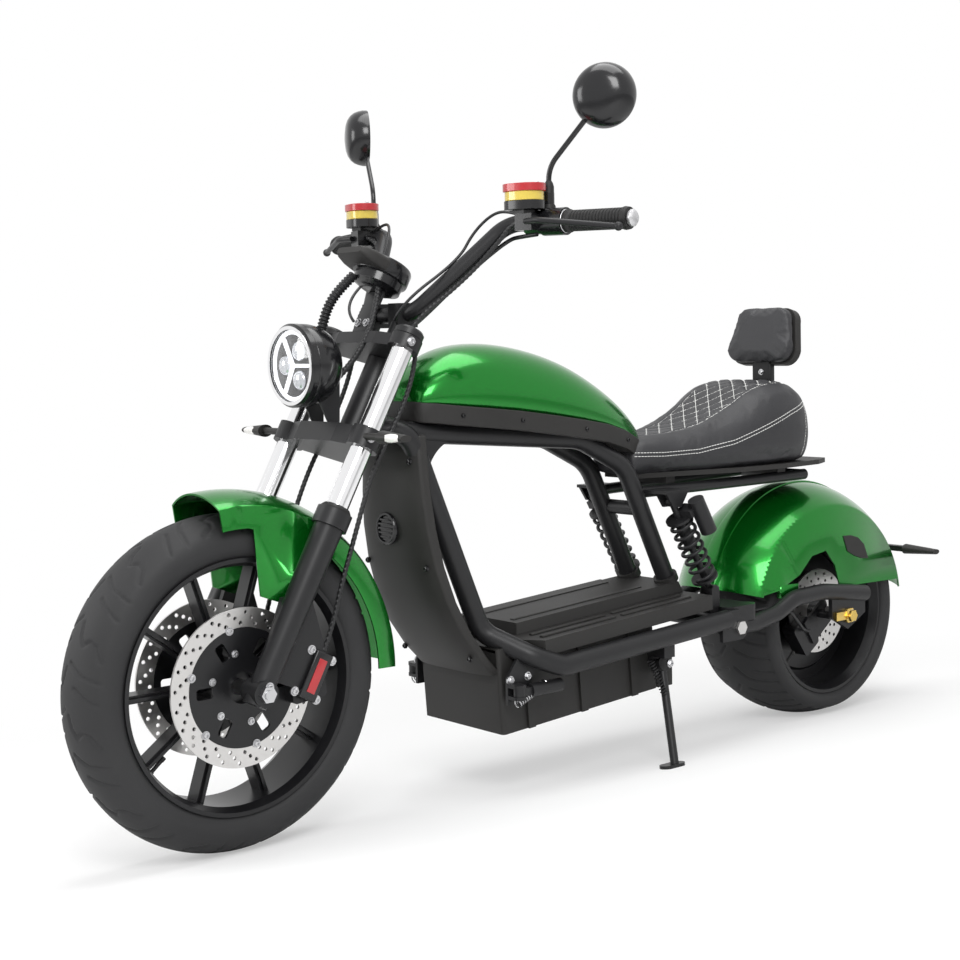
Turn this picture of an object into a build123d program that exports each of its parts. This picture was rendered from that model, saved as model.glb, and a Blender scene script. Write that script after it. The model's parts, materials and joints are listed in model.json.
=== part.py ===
from build123d import *
from math import cos, radians, sin, sqrt
import os

# Electric chopper scooter, parked on its side stand.
# Every piece is drawn with the scooter upright: X forward, Y to its left, Z up,
# with the ground under the rear axle at the origin. At the end all the pieces lean
# over together, so that both tyres and the stand's foot touch Z = 0.

# Chassis geometry
wheelbase = 1430.0
lean_angle = 6.0
rake_angle = 29.3
deck_slope = 4.0
fit_gap = 0.3
bearing_gap = 1.0
place_y = 104.7

# Front wheel
front_tyre_radius = 277.5
front_tyre_half_width = 64.0
front_crown_radius = 82.0
front_crown_half = 57.0
front_seat_radius = 205.0
front_seat_half = 54.0
front_lip_radius = 209.0
front_barrel_wall = 10.0
lip_thickness = 5.0
lip_flare = 6.0
spoke_count = 10
spoke_width = 13.0
spoke_depth = 30.0
spoke_rib_width = 5.0
spoke_rib_depth = 44.0
front_hub_radius = 42.0
front_hub_half = 46.0
front_disc_outer = 130.0
front_disc_inner = 98.0
front_disc_offset = 57.0
disc_thickness = 4.0
disc_hole_radius = 3.5
front_disc_holes = 20
carrier_thickness = 5.0
carrier_bore = 26.0
carrier_windows = 6
carrier_window_length = 30.0
carrier_window_height = 18.0
front_axle_radius = 8.0
front_axle_half = 142.0
axle_head_radius = 14.0
axle_head_length = 8.0
axle_spacer_radius = 13.0

# Rear wheel
rear_tyre_radius = 226.0
rear_tyre_half_width = 104.5
rear_crown_radius = 200.0
rear_crown_half = 88.0
rear_seat_radius = 168.0
rear_seat_half = 89.0
rear_lip_radius = 172.0
rear_barrel_wall = 12.0
motor_left = 20.0
motor_right = 66.0
motor_web_radius = 134.0
motor_boss_radius = 44.0
motor_boss_left = 54.0
motor_boss_right = 80.0
rear_disc_outer = 90.0
rear_disc_inner = 44.0
rear_disc_offset = 58.0
rear_disc_holes = 16
rear_axle_radius = 10.0
rear_axle_half = 158.0

# Fork, measured along its legs from the front axle
leg_spacing = 110.0
steering_offset = 42.0
stanchion_radius = 18.5
leg_radius_top = 25.0
leg_radius_bottom = 20.0
collar_radius = 30.0
collar_length = 28.0
leg_top = 315.0
leg_bottom = 6.0
leg_bore_depth = 60.0
axle_boss_radius = 22.0
axle_boss_half = 21.0
lower_clamp_start = 428.0
lower_clamp_height = 34.0
upper_clamp_start = 612.0
upper_clamp_height = 22.0
clamp_boss_radius = 27.0
stem_radius = 13.0
stanchion_top = 648.0
head_tube_radius = 25.0
head_tube_bore = 15.0
caliper_angle = 174.0
caliper_inner = 76.0
caliper_outer = 142.0
caliper_half_length = 46.0
caliper_half_width = 26.0
pad_gap = 1.5
lug_thickness = 8.0

# Front fender, about the front axle
front_fender_radius = 316.0
front_fender_half = 76.0
front_fender_shoulder = 292.0
front_fender_edge = 258.0
front_fender_front = 76.0
front_fender_tail = 186.0
fender_wall = 3.0

# Rear fender, about a point ahead of the rear axle
rear_fender_ahead = 20.0
rear_fender_radius = 279.0
rear_fender_half = 118.0
rear_fender_shoulder = 250.0
rear_fender_front = 16.0
rear_fender_tail = 171.0
rear_skirt_height = 72.0
rear_strip_half = 22.0
rear_strip_height = 2.0

# Handlebar and controls
bar_radius = 14.0
bar_end_radius = 11.0
grip_radius = 17.0
grip_length = 118.0
riser_spacing = 38.0
riser_radius = 14.0
bar_clamp_u = -21.0
bar_clamp_s = 690.0
bar_lower_y = 62.0
bar_bend_x = -125.0
bar_bend_y = 174.0
bar_bend_z = 150.0
bar_end_x = -180.0
bar_end_y = 406.0
bar_end_z = 146.0
bar_bend_radius = 55.0
control_y = 232.0
reservoir_radius = 26.0
reservoir_height = 40.0
mirror_radius = 52.0
mirror_depth = 34.0
mirror_y = 336.0
mirror_x = -202.0
mirror_z = 350.0
mirror_yaw = 29.0
mirror_stem_radius = 4.5

# Headlight and dash
lamp_radius = 70.0
lamp_depth = 92.0
lamp_ring_radius = 66.0
lamp_ring_depth = 14.0
lamp_u = 123.0
lamp_s = 517.0
dash_radius = 45.0
dash_height = 52.0
dash_u = 28.0
dash_s = 722.0
signal_y = 176.0
signal_length = 62.0

# Frame tubes
frame_tube_radius = 19.0
top_rail_radius = 18.0
top_rail_y = 52.0
top_rail_route = [(1150.0, 22.0, 692.0), (1075.0, 40.0, 668.0), (680.0, 52.0, 634.0), (563.0, 52.0, 576.0), (416.0, 52.0, 268.0)]
top_rail_bends = [90.0, 120.0, 90.0]
deck_rail_y = 160.0
deck_rail_end = (395.0, 160.0, 269.6)
down_tube_route = [(1146.0, 24.0, 677.0), (1086.0, 60.0, 670.0), (940.0, 66.0, 305.0), (885.0, 148.0, 262.0), (830.0, 160.0, 240.7)]
down_tube_bends = [46.0, 46.0, 44.0, 60.0]
cradle_split_x = 800.0
upright_split_x = 530.0
cross_tube_radius = 14.0
cross_tube_x = 522.0
cross_tube_z = 489.0
rear_cross_x = 420.0
rear_cross_z = 268.0
seat_rail_front = (533.0, 52.0, 522.0)
seat_rail_rear = (70.0, 84.0, 528.0)
seat_rail_radius = 11.0
gusset_thickness = 5.0
pivot_plate_y = 160.0
pivot_plate_half = 4.0
pivot_plate_front = 50.0
pivot_plate_rear = 24.0
pivot_plate_half_height = 30.0

# Tank cover: where its stations stand, and its bottom, top and half width there
tank_stations = [1058.0, 1036.0, 985.0, 896.0, 777.0, 653.0, 549.0, 494.0]
tank_bottoms = [714.0, 712.0, 706.0, 694.0, 669.0, 645.0, 624.0, 612.0]
tank_tops = [738.0, 776.0, 806.0, 819.0, 800.0, 742.0, 672.0, 630.0]
tank_halves = [50.0, 68.0, 86.0, 97.0, 98.0, 88.0, 70.0, 50.0]
trim_height = 20.0

# Leg shield between the down tubes, and the horn let into it
shield_front = [(1095.0, 650.0), (1092.0, 560.0), (1086.0, 470.0), (1056.0, 370.0), (1008.0, 285.0), (958.0, 232.0)]
shield_rear = [(938.0, 212.0), (938.0, 290.0), (1070.0, 620.0), (1070.0, 650.0)]
shield_half_top = 82.0
shield_half_bottom = 108.0
horn_z = 500.0
horn_radius = 25.0
horn_depth = 12.0

# Deck, battery box and side stand, measured on the sloping deck
deck_front_x = 900.0
deck_front_z = 243.0
box_half_width = 114.0
box_bottom = -117.0
box_top = 38.7
box_front = 40.0
box_rear = -350.0
box_wall = 4.0
box_rib_width = 16.0
box_rib_height = 5.0
deck_half_width = 157.0
deck_step_height = 46.0
deck_step_thickness = 7.0
deck_skirt = 18.0
deck_raised_half = 80.0
deck_raised_height = 66.0
deck_length = 470.0
deck_corner = 36.0
collar_wall = 6.0
collar_height = 14.0
battery_gap = 2.0
controller_front = 542.0
controller_rear = 496.0
controller_low = 150.0
controller_high = 224.0
peg_hinge_x = 925.0
peg_hinge_y = 152.0
peg_hinge_z = 206.0
peg_length = 96.0
peg_radius = 12.0
peg_pin_radius = 6.0
peg_fork_gap = 14.0
peg_plate = 6.0

# Seat and backrest
seat_front_x = 548.0
seat_rear_x = -22.0
seat_base_z = 548.0
seat_base_thickness = 10.0
seat_half_front = 62.0
seat_half_rear = 140.0
back_x = 96.0
back_z = 818.0
back_half_width = 88.0
back_half_height = 62.0
back_thickness = 40.0
back_tilt = 14.0
seat_top_line = [(548.0, 600.0), (530.0, 622.0), (440.0, 630.0), (354.0, 643.0), (270.0, 682.0), (204.0, 717.0), (140.0, 722.0), (60.0, 710.0), (0.0, 690.0), (-20.0, 660.0), (-26.0, 612.0)]
seat_half_widths = [62.0, 92.0, 132.0, 140.0, 128.0, 96.0]
seat_width_stations = [548.0, 430.0, 290.0, 160.0, 40.0, -26.0]
seat_round = 16.0
strut_x = 100.0
strut_half_width = 22.0
strut_thickness = 8.0

# Swingarm and shocks
arm_y = 137.0
arm_radius = 17.0
arm_route = [(386.0, 252.0), (292.0, 246.0), (222.0, 258.0), (168.0, 282.0), (75.0, 285.0), (-62.0, 267.0)]
arm_bends = [70.0, 90.0, 70.0, 120.0]
axle_plate_half = 5.0
axle_plate_front = 52.0
axle_plate_rear = 58.0
axle_plate_top = 44.0
axle_plate_low = 30.0
yoke_x = 340.0
yoke_half_length = 36.0
yoke_top = 290.0
yoke_thickness = 32.0
yoke_lug_x = 387.0
shock_y = 108.0
shock_top_x = 492.0
shock_top_z = 506.0
shock_bottom_x = 387.0
shock_bottom_z = 322.0
shock_eye_radius = 11.0
shock_eye_half = 9.0
shock_seat_radius = 27.0
shock_seat_thickness = 5.0
shock_seat_low = 28.0
shock_seat_high = 38.0
coil_radius = 22.0
coil_wire_radius = 3.6
coil_turns = 6.5
damper_radius = 13.0
damper_rod_radius = 7.0
reservoir_can_radius = 16.0
reservoir_can_length = 74.0
reservoir_can_back = 26.0
reservoir_can_out = 36.0
lug_plate = 6.0
pivot_x = 362.0
pivot_z = 250.0
pivot_bolt_radius = 8.0

# Side stand
stand_pivot_x = 556.0
stand_pivot_y = 138.0
stand_pivot_z = 200.0
stand_foot_x = 587.0
stand_foot_y = 200.0
stand_leg_radius = 8.0
stand_pad_thickness = 6.0


def axle_height(tyre_radius, crown_radius):
    """Height at which the leaning tyre's round crown just touches the ground."""
    return tyre_radius + crown_radius * (1 / cos(radians(lean_angle)) - 1)


front_axle_z = axle_height(front_tyre_radius, front_crown_radius)
rear_axle_z = axle_height(rear_tyre_radius, rear_crown_radius)
rake = radians(rake_angle)
slope = radians(deck_slope)
front_centre = Vector(wheelbase, 0, front_axle_z)
rear_centre = Vector(0, 0, rear_axle_z)
front_spin = Axis(front_centre, (0, 1, 0))
rear_spin = Axis(rear_centre, (0, 1, 0))
front_side = Plane(front_centre, x_dir=(1, 0, 0), z_dir=(0, -1, 0))
rear_side = Plane(rear_centre, x_dir=(1, 0, 0), z_dir=(0, -1, 0))
fork = Plane(front_centre, x_dir=(cos(rake), 0, sin(rake)), z_dir=(-sin(rake), 0, cos(rake)))
deck = Plane(
    (deck_front_x, 0, deck_front_z),
    x_dir=(cos(slope), 0, -sin(slope)),
    z_dir=(sin(slope), 0, cos(slope)),
)


def fork_at(u, y, s):
    """Point given along the fork: u ahead of the legs, s up from the axle."""
    return fork.from_local_coords(Vector(u, y, s))


def deck_at(x, y, z):
    """Point given on the sloping deck, from its front end."""
    return deck.from_local_coords(Vector(x, y, z))


def both_sides(x, y, z):
    """The same point on the left and on the right."""
    return [Vector(x, y, z), Vector(x, -y, z)]


def tube(points, bends, radius):
    """A round tube along straight runs joined by bends."""
    with BuildPart() as made:
        with BuildLine() as route:
            FilletPolyline(*points, radius=bends)
        with BuildSketch(Plane(route.line @ 0, z_dir=route.line % 0)):
            Circle(radius)
        sweep(path=route.line)
    return made.part


def rod(start, end, radius):
    """A straight round bar between two points."""
    start = Vector(start)
    end = Vector(end)
    with BuildPart() as made:
        with BuildSketch(Plane(start, z_dir=end - start)):
            Circle(radius)
        extrude(amount=(end - start).length)
    return made.part


def tyre_section(centre, radius, half, crown, crown_half, seat_radius, seat_half, lip_radius):
    """Half a tyre's cut, with a round crown, bulging walls and flat beads."""
    shoulder = radius - crown + sqrt(crown**2 - crown_half**2)
    bead = seat_radius + fit_gap
    lip = lip_radius + fit_gap
    middle = (shoulder + lip) / 2
    with BuildSketch(Plane(centre, x_dir=(0, 1, 0), z_dir=(1, 0, 0))) as cut:
        with BuildLine():
            ThreePointArc((-crown_half, shoulder), (0, radius), (crown_half, shoulder))
            ThreePointArc((crown_half, shoulder), (half, middle), (seat_half, lip))
            Polyline((seat_half, lip), (seat_half, bead), (-seat_half, bead), (-seat_half, lip))
            ThreePointArc((-seat_half, lip), (-half, middle), (-crown_half, shoulder))
        make_face()
    return cut.sketch


def rim_section(centre, seat_radius, seat_half, lip_radius, wall):
    """Half a rim's cut, with a lip at each side and a dropped barrel between."""
    inner = seat_half + fit_gap
    outer = inner + lip_thickness
    flare = outer - wall - lip_flare
    with BuildSketch(Plane(centre, x_dir=(0, 1, 0), z_dir=(1, 0, 0))) as cut:
        with BuildLine():
            Polyline(
                (outer, lip_radius),
                (inner, lip_radius),
                (inner, seat_radius),
                (-inner, seat_radius),
                (-inner, lip_radius),
                (-outer, lip_radius),
                (-outer, seat_radius - lip_flare / 2),
                (-flare, seat_radius - wall),
                (flare, seat_radius - wall),
                (outer, seat_radius - lip_flare / 2),
                close=True,
            )
        make_face()
    return cut.sketch


# Front tyre
with BuildPart() as front_tyre:
    revolve(
        tyre_section(
            front_centre,
            front_tyre_radius,
            front_tyre_half_width,
            front_crown_radius,
            front_crown_half,
            front_seat_radius,
            front_seat_half,
            front_lip_radius,
        ),
        axis=front_spin,
    )

# Front rim, ten ribbed spokes between hub and barrel
spoke_inner = front_hub_radius - spoke_rib_width
spoke_outer = front_seat_radius - front_barrel_wall / 2
with BuildPart() as front_rim:
    revolve(
        rim_section(front_centre, front_seat_radius, front_seat_half, front_lip_radius, front_barrel_wall),
        axis=front_spin,
    )
    with BuildSketch(front_side):
        with PolarLocations((spoke_inner + spoke_outer) / 2, spoke_count):
            Rectangle(spoke_outer - spoke_inner, spoke_width)
    extrude(amount=spoke_depth / 2, both=True)
    with BuildSketch(front_side):
        with PolarLocations((spoke_inner + spoke_outer) / 2, spoke_count):
            Rectangle(spoke_outer - spoke_inner, spoke_rib_width)
    extrude(amount=spoke_rib_depth / 2, both=True)
    with BuildSketch(front_side):
        Circle(front_hub_radius)
    extrude(amount=front_hub_half, both=True)
    with BuildSketch(front_side):
        Circle(front_axle_radius + fit_gap)
    extrude(amount=front_hub_half, both=True, mode=Mode.SUBTRACT)

# Front brake discs: drilled rings on windowed carriers, bolted to the hub's two ends
ring_middle = (front_disc_outer + front_disc_inner) / 2
hole_step = (front_disc_outer - front_disc_inner) / 6
with BuildPart() as front_discs:
    for offset_y in (front_disc_offset, -front_disc_offset):
        with BuildSketch(front_side.offset(-offset_y)):
            Circle(front_disc_outer)
            Circle(front_disc_inner, mode=Mode.SUBTRACT)
            with PolarLocations(ring_middle - hole_step, front_disc_holes):
                Circle(disc_hole_radius, mode=Mode.SUBTRACT)
        extrude(amount=disc_thickness / 2, both=True)

carrier_outer = front_disc_inner - fit_gap
carrier_boss = front_disc_offset + carrier_thickness / 2 - front_hub_half
window_middle = (carrier_outer + front_hub_radius) / 2
with BuildPart() as front_disc_carriers:
    with BuildSketch(front_side.offset(-front_disc_offset)):
        Circle(carrier_outer)
        with PolarLocations(window_middle, carrier_windows):
            RectangleRounded(carrier_window_length, carrier_window_height, carrier_thickness, mode=Mode.SUBTRACT)
        Circle(carrier_bore, mode=Mode.SUBTRACT)
    extrude(amount=carrier_thickness / 2, both=True)
    with BuildSketch(front_side.offset(-front_hub_half)):
        Circle(front_hub_radius)
        Circle(carrier_bore, mode=Mode.SUBTRACT)
    extrude(amount=-carrier_boss)
    mirror(about=Plane.XZ)

# Front axle with its spacers and hexagon ends
spacer_end = leg_spacing - axle_boss_half - fit_gap
with BuildPart() as front_axle:
    with BuildSketch(front_side):
        Circle(front_axle_radius)
    extrude(amount=front_axle_half, both=True)
    with BuildSketch(front_side.offset(-front_hub_half - bearing_gap)):
        Circle(axle_spacer_radius)
    extrude(amount=-(spacer_end - front_hub_half - bearing_gap))
    with BuildSketch(front_side.offset(-leg_spacing - axle_boss_half - fit_gap)):
        RegularPolygon(axle_head_radius, 6)
    extrude(amount=-axle_head_length)
    mirror(about=Plane.XZ)

# Rear tyre
with BuildPart() as rear_tyre:
    revolve(
        tyre_section(
            rear_centre,
            rear_tyre_radius,
            rear_tyre_half_width,
            rear_crown_radius,
            rear_crown_half,
            rear_seat_radius,
            rear_seat_half,
            rear_lip_radius,
        ),
        axis=rear_spin,
    )

# Rear rim with the hub motor drum cast into it
barrel_inner = rear_seat_radius - rear_barrel_wall
with BuildPart() as rear_rim:
    revolve(
        rim_section(rear_centre, rear_seat_radius, rear_seat_half, rear_lip_radius, rear_barrel_wall),
        axis=rear_spin,
    )
    with BuildSketch(Plane(rear_centre, x_dir=(0, 1, 0), z_dir=(1, 0, 0))):
        with BuildLine():
            Polyline(
                (motor_left, barrel_inner + lip_flare),
                (motor_left, motor_web_radius),
                (motor_left + lip_thickness, motor_web_radius - lip_flare),
                (motor_left + lip_thickness, motor_boss_radius + lip_flare),
                (motor_boss_left, motor_boss_radius - lip_flare),
                (motor_boss_left, rear_axle_radius + fit_gap),
                (-motor_boss_right, rear_axle_radius + fit_gap),
                (-motor_boss_right, motor_boss_radius - lip_flare),
                (-motor_right - lip_thickness, motor_boss_radius + lip_flare),
                (-motor_right - lip_thickness, motor_web_radius - lip_flare),
                (-motor_right, motor_web_radius),
                (-motor_right, barrel_inner + lip_flare),
                close=True,
            )
        make_face()
    revolve(axis=rear_spin)

# Rear brake disc on the motor's boss
with BuildPart() as rear_disc:
    with BuildSketch(rear_side.offset(-rear_disc_offset)):
        Circle(rear_disc_outer)
        Circle(rear_disc_inner - lip_flare * 2, mode=Mode.SUBTRACT)
        with PolarLocations((rear_disc_outer + rear_disc_inner) / 2, rear_disc_holes):
            Circle(disc_hole_radius, mode=Mode.SUBTRACT)
    extrude(amount=disc_thickness / 2, both=True)
    with BuildSketch(rear_side.offset(-motor_boss_left)):
        Circle(motor_boss_radius - lip_flare)
        Circle(rear_axle_radius + lip_flare, mode=Mode.SUBTRACT)
    extrude(amount=-(rear_disc_offset + disc_thickness / 2 - motor_boss_left))

# Rear axle, fixed in the swingarm's plates
axle_spacer_start = motor_boss_right + bearing_gap
axle_spacer_end = arm_y - axle_plate_half - fit_gap
with BuildPart() as rear_axle:
    with BuildSketch(rear_side):
        Circle(rear_axle_radius)
    extrude(amount=rear_axle_half, both=True)
    with BuildSketch(rear_side.offset(-axle_spacer_start)):
        Circle(axle_spacer_radius)
    extrude(amount=-(axle_spacer_end - axle_spacer_start))
    with BuildSketch(rear_side.offset(-arm_y - axle_plate_half - fit_gap)):
        RegularPolygon(axle_head_radius, 6)
    extrude(amount=-axle_head_length)
    mirror(about=Plane.XZ)

# Swingarm: two bent tubes with axle plates, joined by a yoke plate ahead of the wheel
arm_points = [(x, arm_y, z) for x, z in arm_route]
with BuildPart() as swingarm:
    add(tube(arm_points, arm_bends, arm_radius))
    with BuildSketch(rear_side.offset(-arm_y)):
        with BuildLine():
            Polyline(
                (-axle_plate_rear, axle_plate_top),
                (axle_plate_front, axle_plate_top),
                (axle_plate_front, 0),
                (0, -axle_plate_low),
                (-axle_plate_rear, 0),
                close=True,
            )
        make_face()
    extrude(amount=axle_plate_half, both=True)
    with BuildSketch(rear_side.offset(-arm_y)):
        Circle(rear_axle_radius + fit_gap / 2)
    extrude(amount=axle_plate_half, both=True, mode=Mode.SUBTRACT)
    with BuildSketch(Plane.XY.offset(yoke_top)):
        with Locations((yoke_x, arm_y / 2)):
            Rectangle(yoke_half_length * 2, arm_y)
        with Locations((yoke_x, arm_y)):
            SlotOverall(yoke_half_length * 2 + arm_radius, arm_radius * 2)
        with Locations((yoke_lug_x, shock_y)):
            Rectangle(shock_eye_radius * 3, (shock_eye_half + lug_plate) * 2)
    extrude(amount=-yoke_thickness)
    with BuildSketch(Plane.XZ.offset(-shock_y)):
        with Locations((shock_bottom_x, shock_bottom_z)):
            Circle(shock_eye_radius)
        with Locations((shock_bottom_x, (shock_bottom_z + yoke_top) / 2)):
            Rectangle(shock_eye_radius * 2, shock_bottom_z - yoke_top)
    extrude(amount=shock_eye_half + lug_plate, both=True)
    with BuildSketch(Plane.XZ.offset(-shock_y)):
        with Locations((shock_bottom_x, shock_bottom_z)):
            Rectangle(shock_eye_radius * 4, (shock_bottom_z - yoke_top) * 2 - fit_gap)
    extrude(amount=shock_eye_half + fit_gap, both=True, mode=Mode.SUBTRACT)
    with BuildSketch(Plane.XZ.offset(-arm_y)):
        with Locations((pivot_x, pivot_z)):
            Circle(pivot_bolt_radius + fit_gap)
    extrude(amount=arm_y, both=True, mode=Mode.SUBTRACT)
    mirror(about=Plane.XZ)

# Shocks: eyes, damper, spring seats and a remote can on a bridge
shock_foot = Vector(shock_bottom_x, shock_y, shock_bottom_z)
shock_head = Vector(shock_top_x, shock_y, shock_top_z)
shock_length = (shock_head - shock_foot).length
shock_axis = Plane(shock_foot, x_dir=(0, 1, 0), z_dir=shock_head - shock_foot)
coil_start = shock_seat_low + shock_seat_thickness + coil_wire_radius
coil_end = shock_length - shock_seat_high - shock_seat_thickness - coil_wire_radius
with BuildPart() as shocks:
    with BuildSketch(Plane.XZ.offset(-shock_y)):
        with Locations((shock_bottom_x, shock_bottom_z), (shock_top_x, shock_top_z)):
            Circle(shock_eye_radius)
    extrude(amount=shock_eye_half, both=True)
    with BuildSketch(shock_axis):
        Circle(damper_rod_radius)
    extrude(amount=shock_length)
    with BuildSketch(shock_axis.offset(shock_seat_low)):
        Circle(shock_seat_radius)
    extrude(amount=shock_seat_thickness)
    with BuildSketch(shock_axis.offset(shock_length - shock_seat_high)):
        Circle(shock_seat_radius)
    extrude(amount=-shock_seat_thickness)
    with BuildSketch(shock_axis.offset(shock_length / 2)):
        Circle(damper_radius)
    extrude(amount=shock_length / 2 - shock_seat_high)
    with BuildSketch(shock_axis.offset(shock_length - shock_eye_radius)):
        with Locations((reservoir_can_out, reservoir_can_back)):
            Circle(reservoir_can_radius)
    extrude(amount=-reservoir_can_length)
    with BuildSketch(shock_axis.offset(shock_length - shock_eye_radius * 2)):
        with Locations((reservoir_can_out / 2, reservoir_can_back / 2)):
            Rectangle(reservoir_can_out, reservoir_can_back)
    extrude(amount=-(shock_seat_high - shock_eye_radius * 2))
    mirror(about=Plane.XZ)

# Shock springs, wound between the seats
coil_height = coil_end - coil_start
with BuildPart() as shock_springs:
    with BuildLine() as coil:
        Helix(
            pitch=coil_height / coil_turns,
            height=coil_height,
            radius=coil_radius,
            center=shock_axis.offset(coil_start).origin,
            direction=shock_axis.z_dir,
        )
    with BuildSketch(Plane(coil.line @ 0, z_dir=coil.line % 0)):
        Circle(coil_wire_radius)
    sweep(path=coil.line, is_frenet=True)
    mirror(about=Plane.XZ)

# Fork lowers: legs with a collar, an axle boss and a lug for the caliper
caliper_middle = (caliper_inner + caliper_outer) / 2
with BuildPart() as fork_lowers:
    with BuildSketch(fork.offset(-axle_boss_radius)):
        with Locations((0, leg_spacing)):
            Circle(leg_radius_bottom)
    with BuildSketch(fork.offset(leg_top - collar_length)):
        with Locations((0, leg_spacing)):
            Circle(leg_radius_top)
    loft()
    with BuildSketch(fork.offset(leg_top)):
        with Locations((0, leg_spacing)):
            Circle(collar_radius)
    extrude(amount=-collar_length)
    with BuildSketch(front_side.offset(-leg_spacing)):
        Circle(axle_boss_radius)
    extrude(amount=axle_boss_half, both=True)
    with BuildSketch(front_side.offset(-front_disc_offset - caliper_half_width - fit_gap)):
        Polygon(
            (-axle_boss_radius / 2, axle_boss_radius),
            (-caliper_middle, -caliper_half_length / 2),
            (-caliper_outer, caliper_half_length / 2),
            (-caliper_middle, caliper_outer),
            (-leg_bore_depth, caliper_outer),
            align=None,
        )
    extrude(amount=-lug_thickness * 2)
    with BuildSketch(front_side.offset(-leg_spacing)):
        Circle(front_axle_radius + fit_gap / 2)
    extrude(amount=leg_spacing / 2, both=True, mode=Mode.SUBTRACT)
    with BuildSketch(fork.offset(leg_top)):
        with Locations((0, leg_spacing)):
            Circle(stanchion_radius + fit_gap / 2)
    extrude(amount=-leg_bore_depth, mode=Mode.SUBTRACT)
    mirror(about=Plane.XZ)

# Fork stanchions
stanchion_low = leg_top - leg_bore_depth + fit_gap
with BuildPart() as stanchions:
    with BuildSketch(fork.offset(stanchion_low)):
        with Locations((0, leg_spacing), (0, -leg_spacing)):
            Circle(stanchion_radius)
    extrude(amount=stanchion_top - stanchion_low)

# Front brake calipers over the discs' rear edge
with BuildPart() as front_calipers:
    with BuildSketch(front_side.offset(-front_disc_offset)):
        with PolarLocations(caliper_middle, 1, start_angle=caliper_angle):
            RectangleRounded(caliper_outer - caliper_inner, caliper_half_length * 2, lug_thickness)
    extrude(amount=caliper_half_width, both=True)
    with BuildSketch(front_side.offset(-front_disc_offset)):
        Circle(front_disc_outer + pad_gap * 3)
    extrude(amount=disc_thickness / 2 + pad_gap, both=True, mode=Mode.SUBTRACT)
    mirror(about=Plane.XZ)

# Fork clamps on the steering stem
with BuildPart() as fork_clamps:
    for start, height in ((lower_clamp_start, lower_clamp_height), (upper_clamp_start, upper_clamp_height)):
        with BuildSketch(fork.offset(start)):
            with Locations((0, leg_spacing)):
                Circle(clamp_boss_radius)
            Polygon(
                (-steering_offset - clamp_boss_radius, 0),
                (clamp_boss_radius, 0),
                (clamp_boss_radius, leg_spacing / 2),
                (clamp_boss_radius / 2, leg_spacing),
                (-clamp_boss_radius / 2, leg_spacing),
                (-steering_offset - clamp_boss_radius, clamp_boss_radius),
                align=None,
            )
        extrude(amount=height)
    with BuildSketch(fork.offset(lower_clamp_start)):
        with Locations((-steering_offset, 0)):
            Circle(stem_radius)
    extrude(amount=upper_clamp_start - lower_clamp_start)
    with BuildSketch(fork.offset(lower_clamp_start)):
        with Locations((0, leg_spacing)):
            Circle(stanchion_radius + fit_gap / 2)
    extrude(amount=stanchion_top - lower_clamp_start, mode=Mode.SUBTRACT)
    mirror(about=Plane.XZ)

# Handlebar: one bent bar with thinner ends, on two risers
bar_middle = fork_at(bar_clamp_u, 0, bar_clamp_s)
bar_corner = bar_middle + Vector(bar_bend_x, bar_bend_y, bar_bend_z)
bar_end = bar_middle + Vector(bar_end_x, bar_end_y, bar_end_z)
grip_way = (bar_end - bar_corner).normalized()
grip_start = bar_end - grip_way * grip_length
bar_left = [bar_middle + Vector(0, bar_lower_y, 0), bar_corner, grip_start]
bar_right = [Vector(point.X, -point.Y, point.Z) for point in reversed(bar_left)]
riser_base = upper_clamp_start + upper_clamp_height + fit_gap
with BuildPart() as handlebar:
    add(tube(bar_right + bar_left, [bar_bend_radius] * 4, bar_radius))
    with BuildSketch(fork.offset(riser_base)):
        with Locations((bar_clamp_u, riser_spacing), (bar_clamp_u, -riser_spacing)):
            Circle(riser_radius)
    extrude(amount=bar_clamp_s - riser_base)
    with BuildSketch(Plane(bar_middle, x_dir=(1, 0, 0), z_dir=(0, -1, 0)).offset(-riser_spacing)):
        Rectangle(riser_radius * 3, riser_radius * 3)
    extrude(amount=riser_radius, both=True)
    mirror(about=Plane.XZ)
    add(rod(grip_start, bar_end, bar_end_radius))
    add(rod(Vector(grip_start.X, -grip_start.Y, grip_start.Z), Vector(bar_end.X, -bar_end.Y, bar_end.Z), bar_end_radius))

# Grips over the bar's ends
with BuildPart() as grips:
    add(rod(grip_start + grip_way * fit_gap, bar_end + grip_way * bar_radius / 2, grip_radius))
    add(rod(grip_start, bar_end + grip_way * fit_gap, bar_end_radius + fit_gap), mode=Mode.SUBTRACT)
    mirror(about=Plane.XZ)

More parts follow.
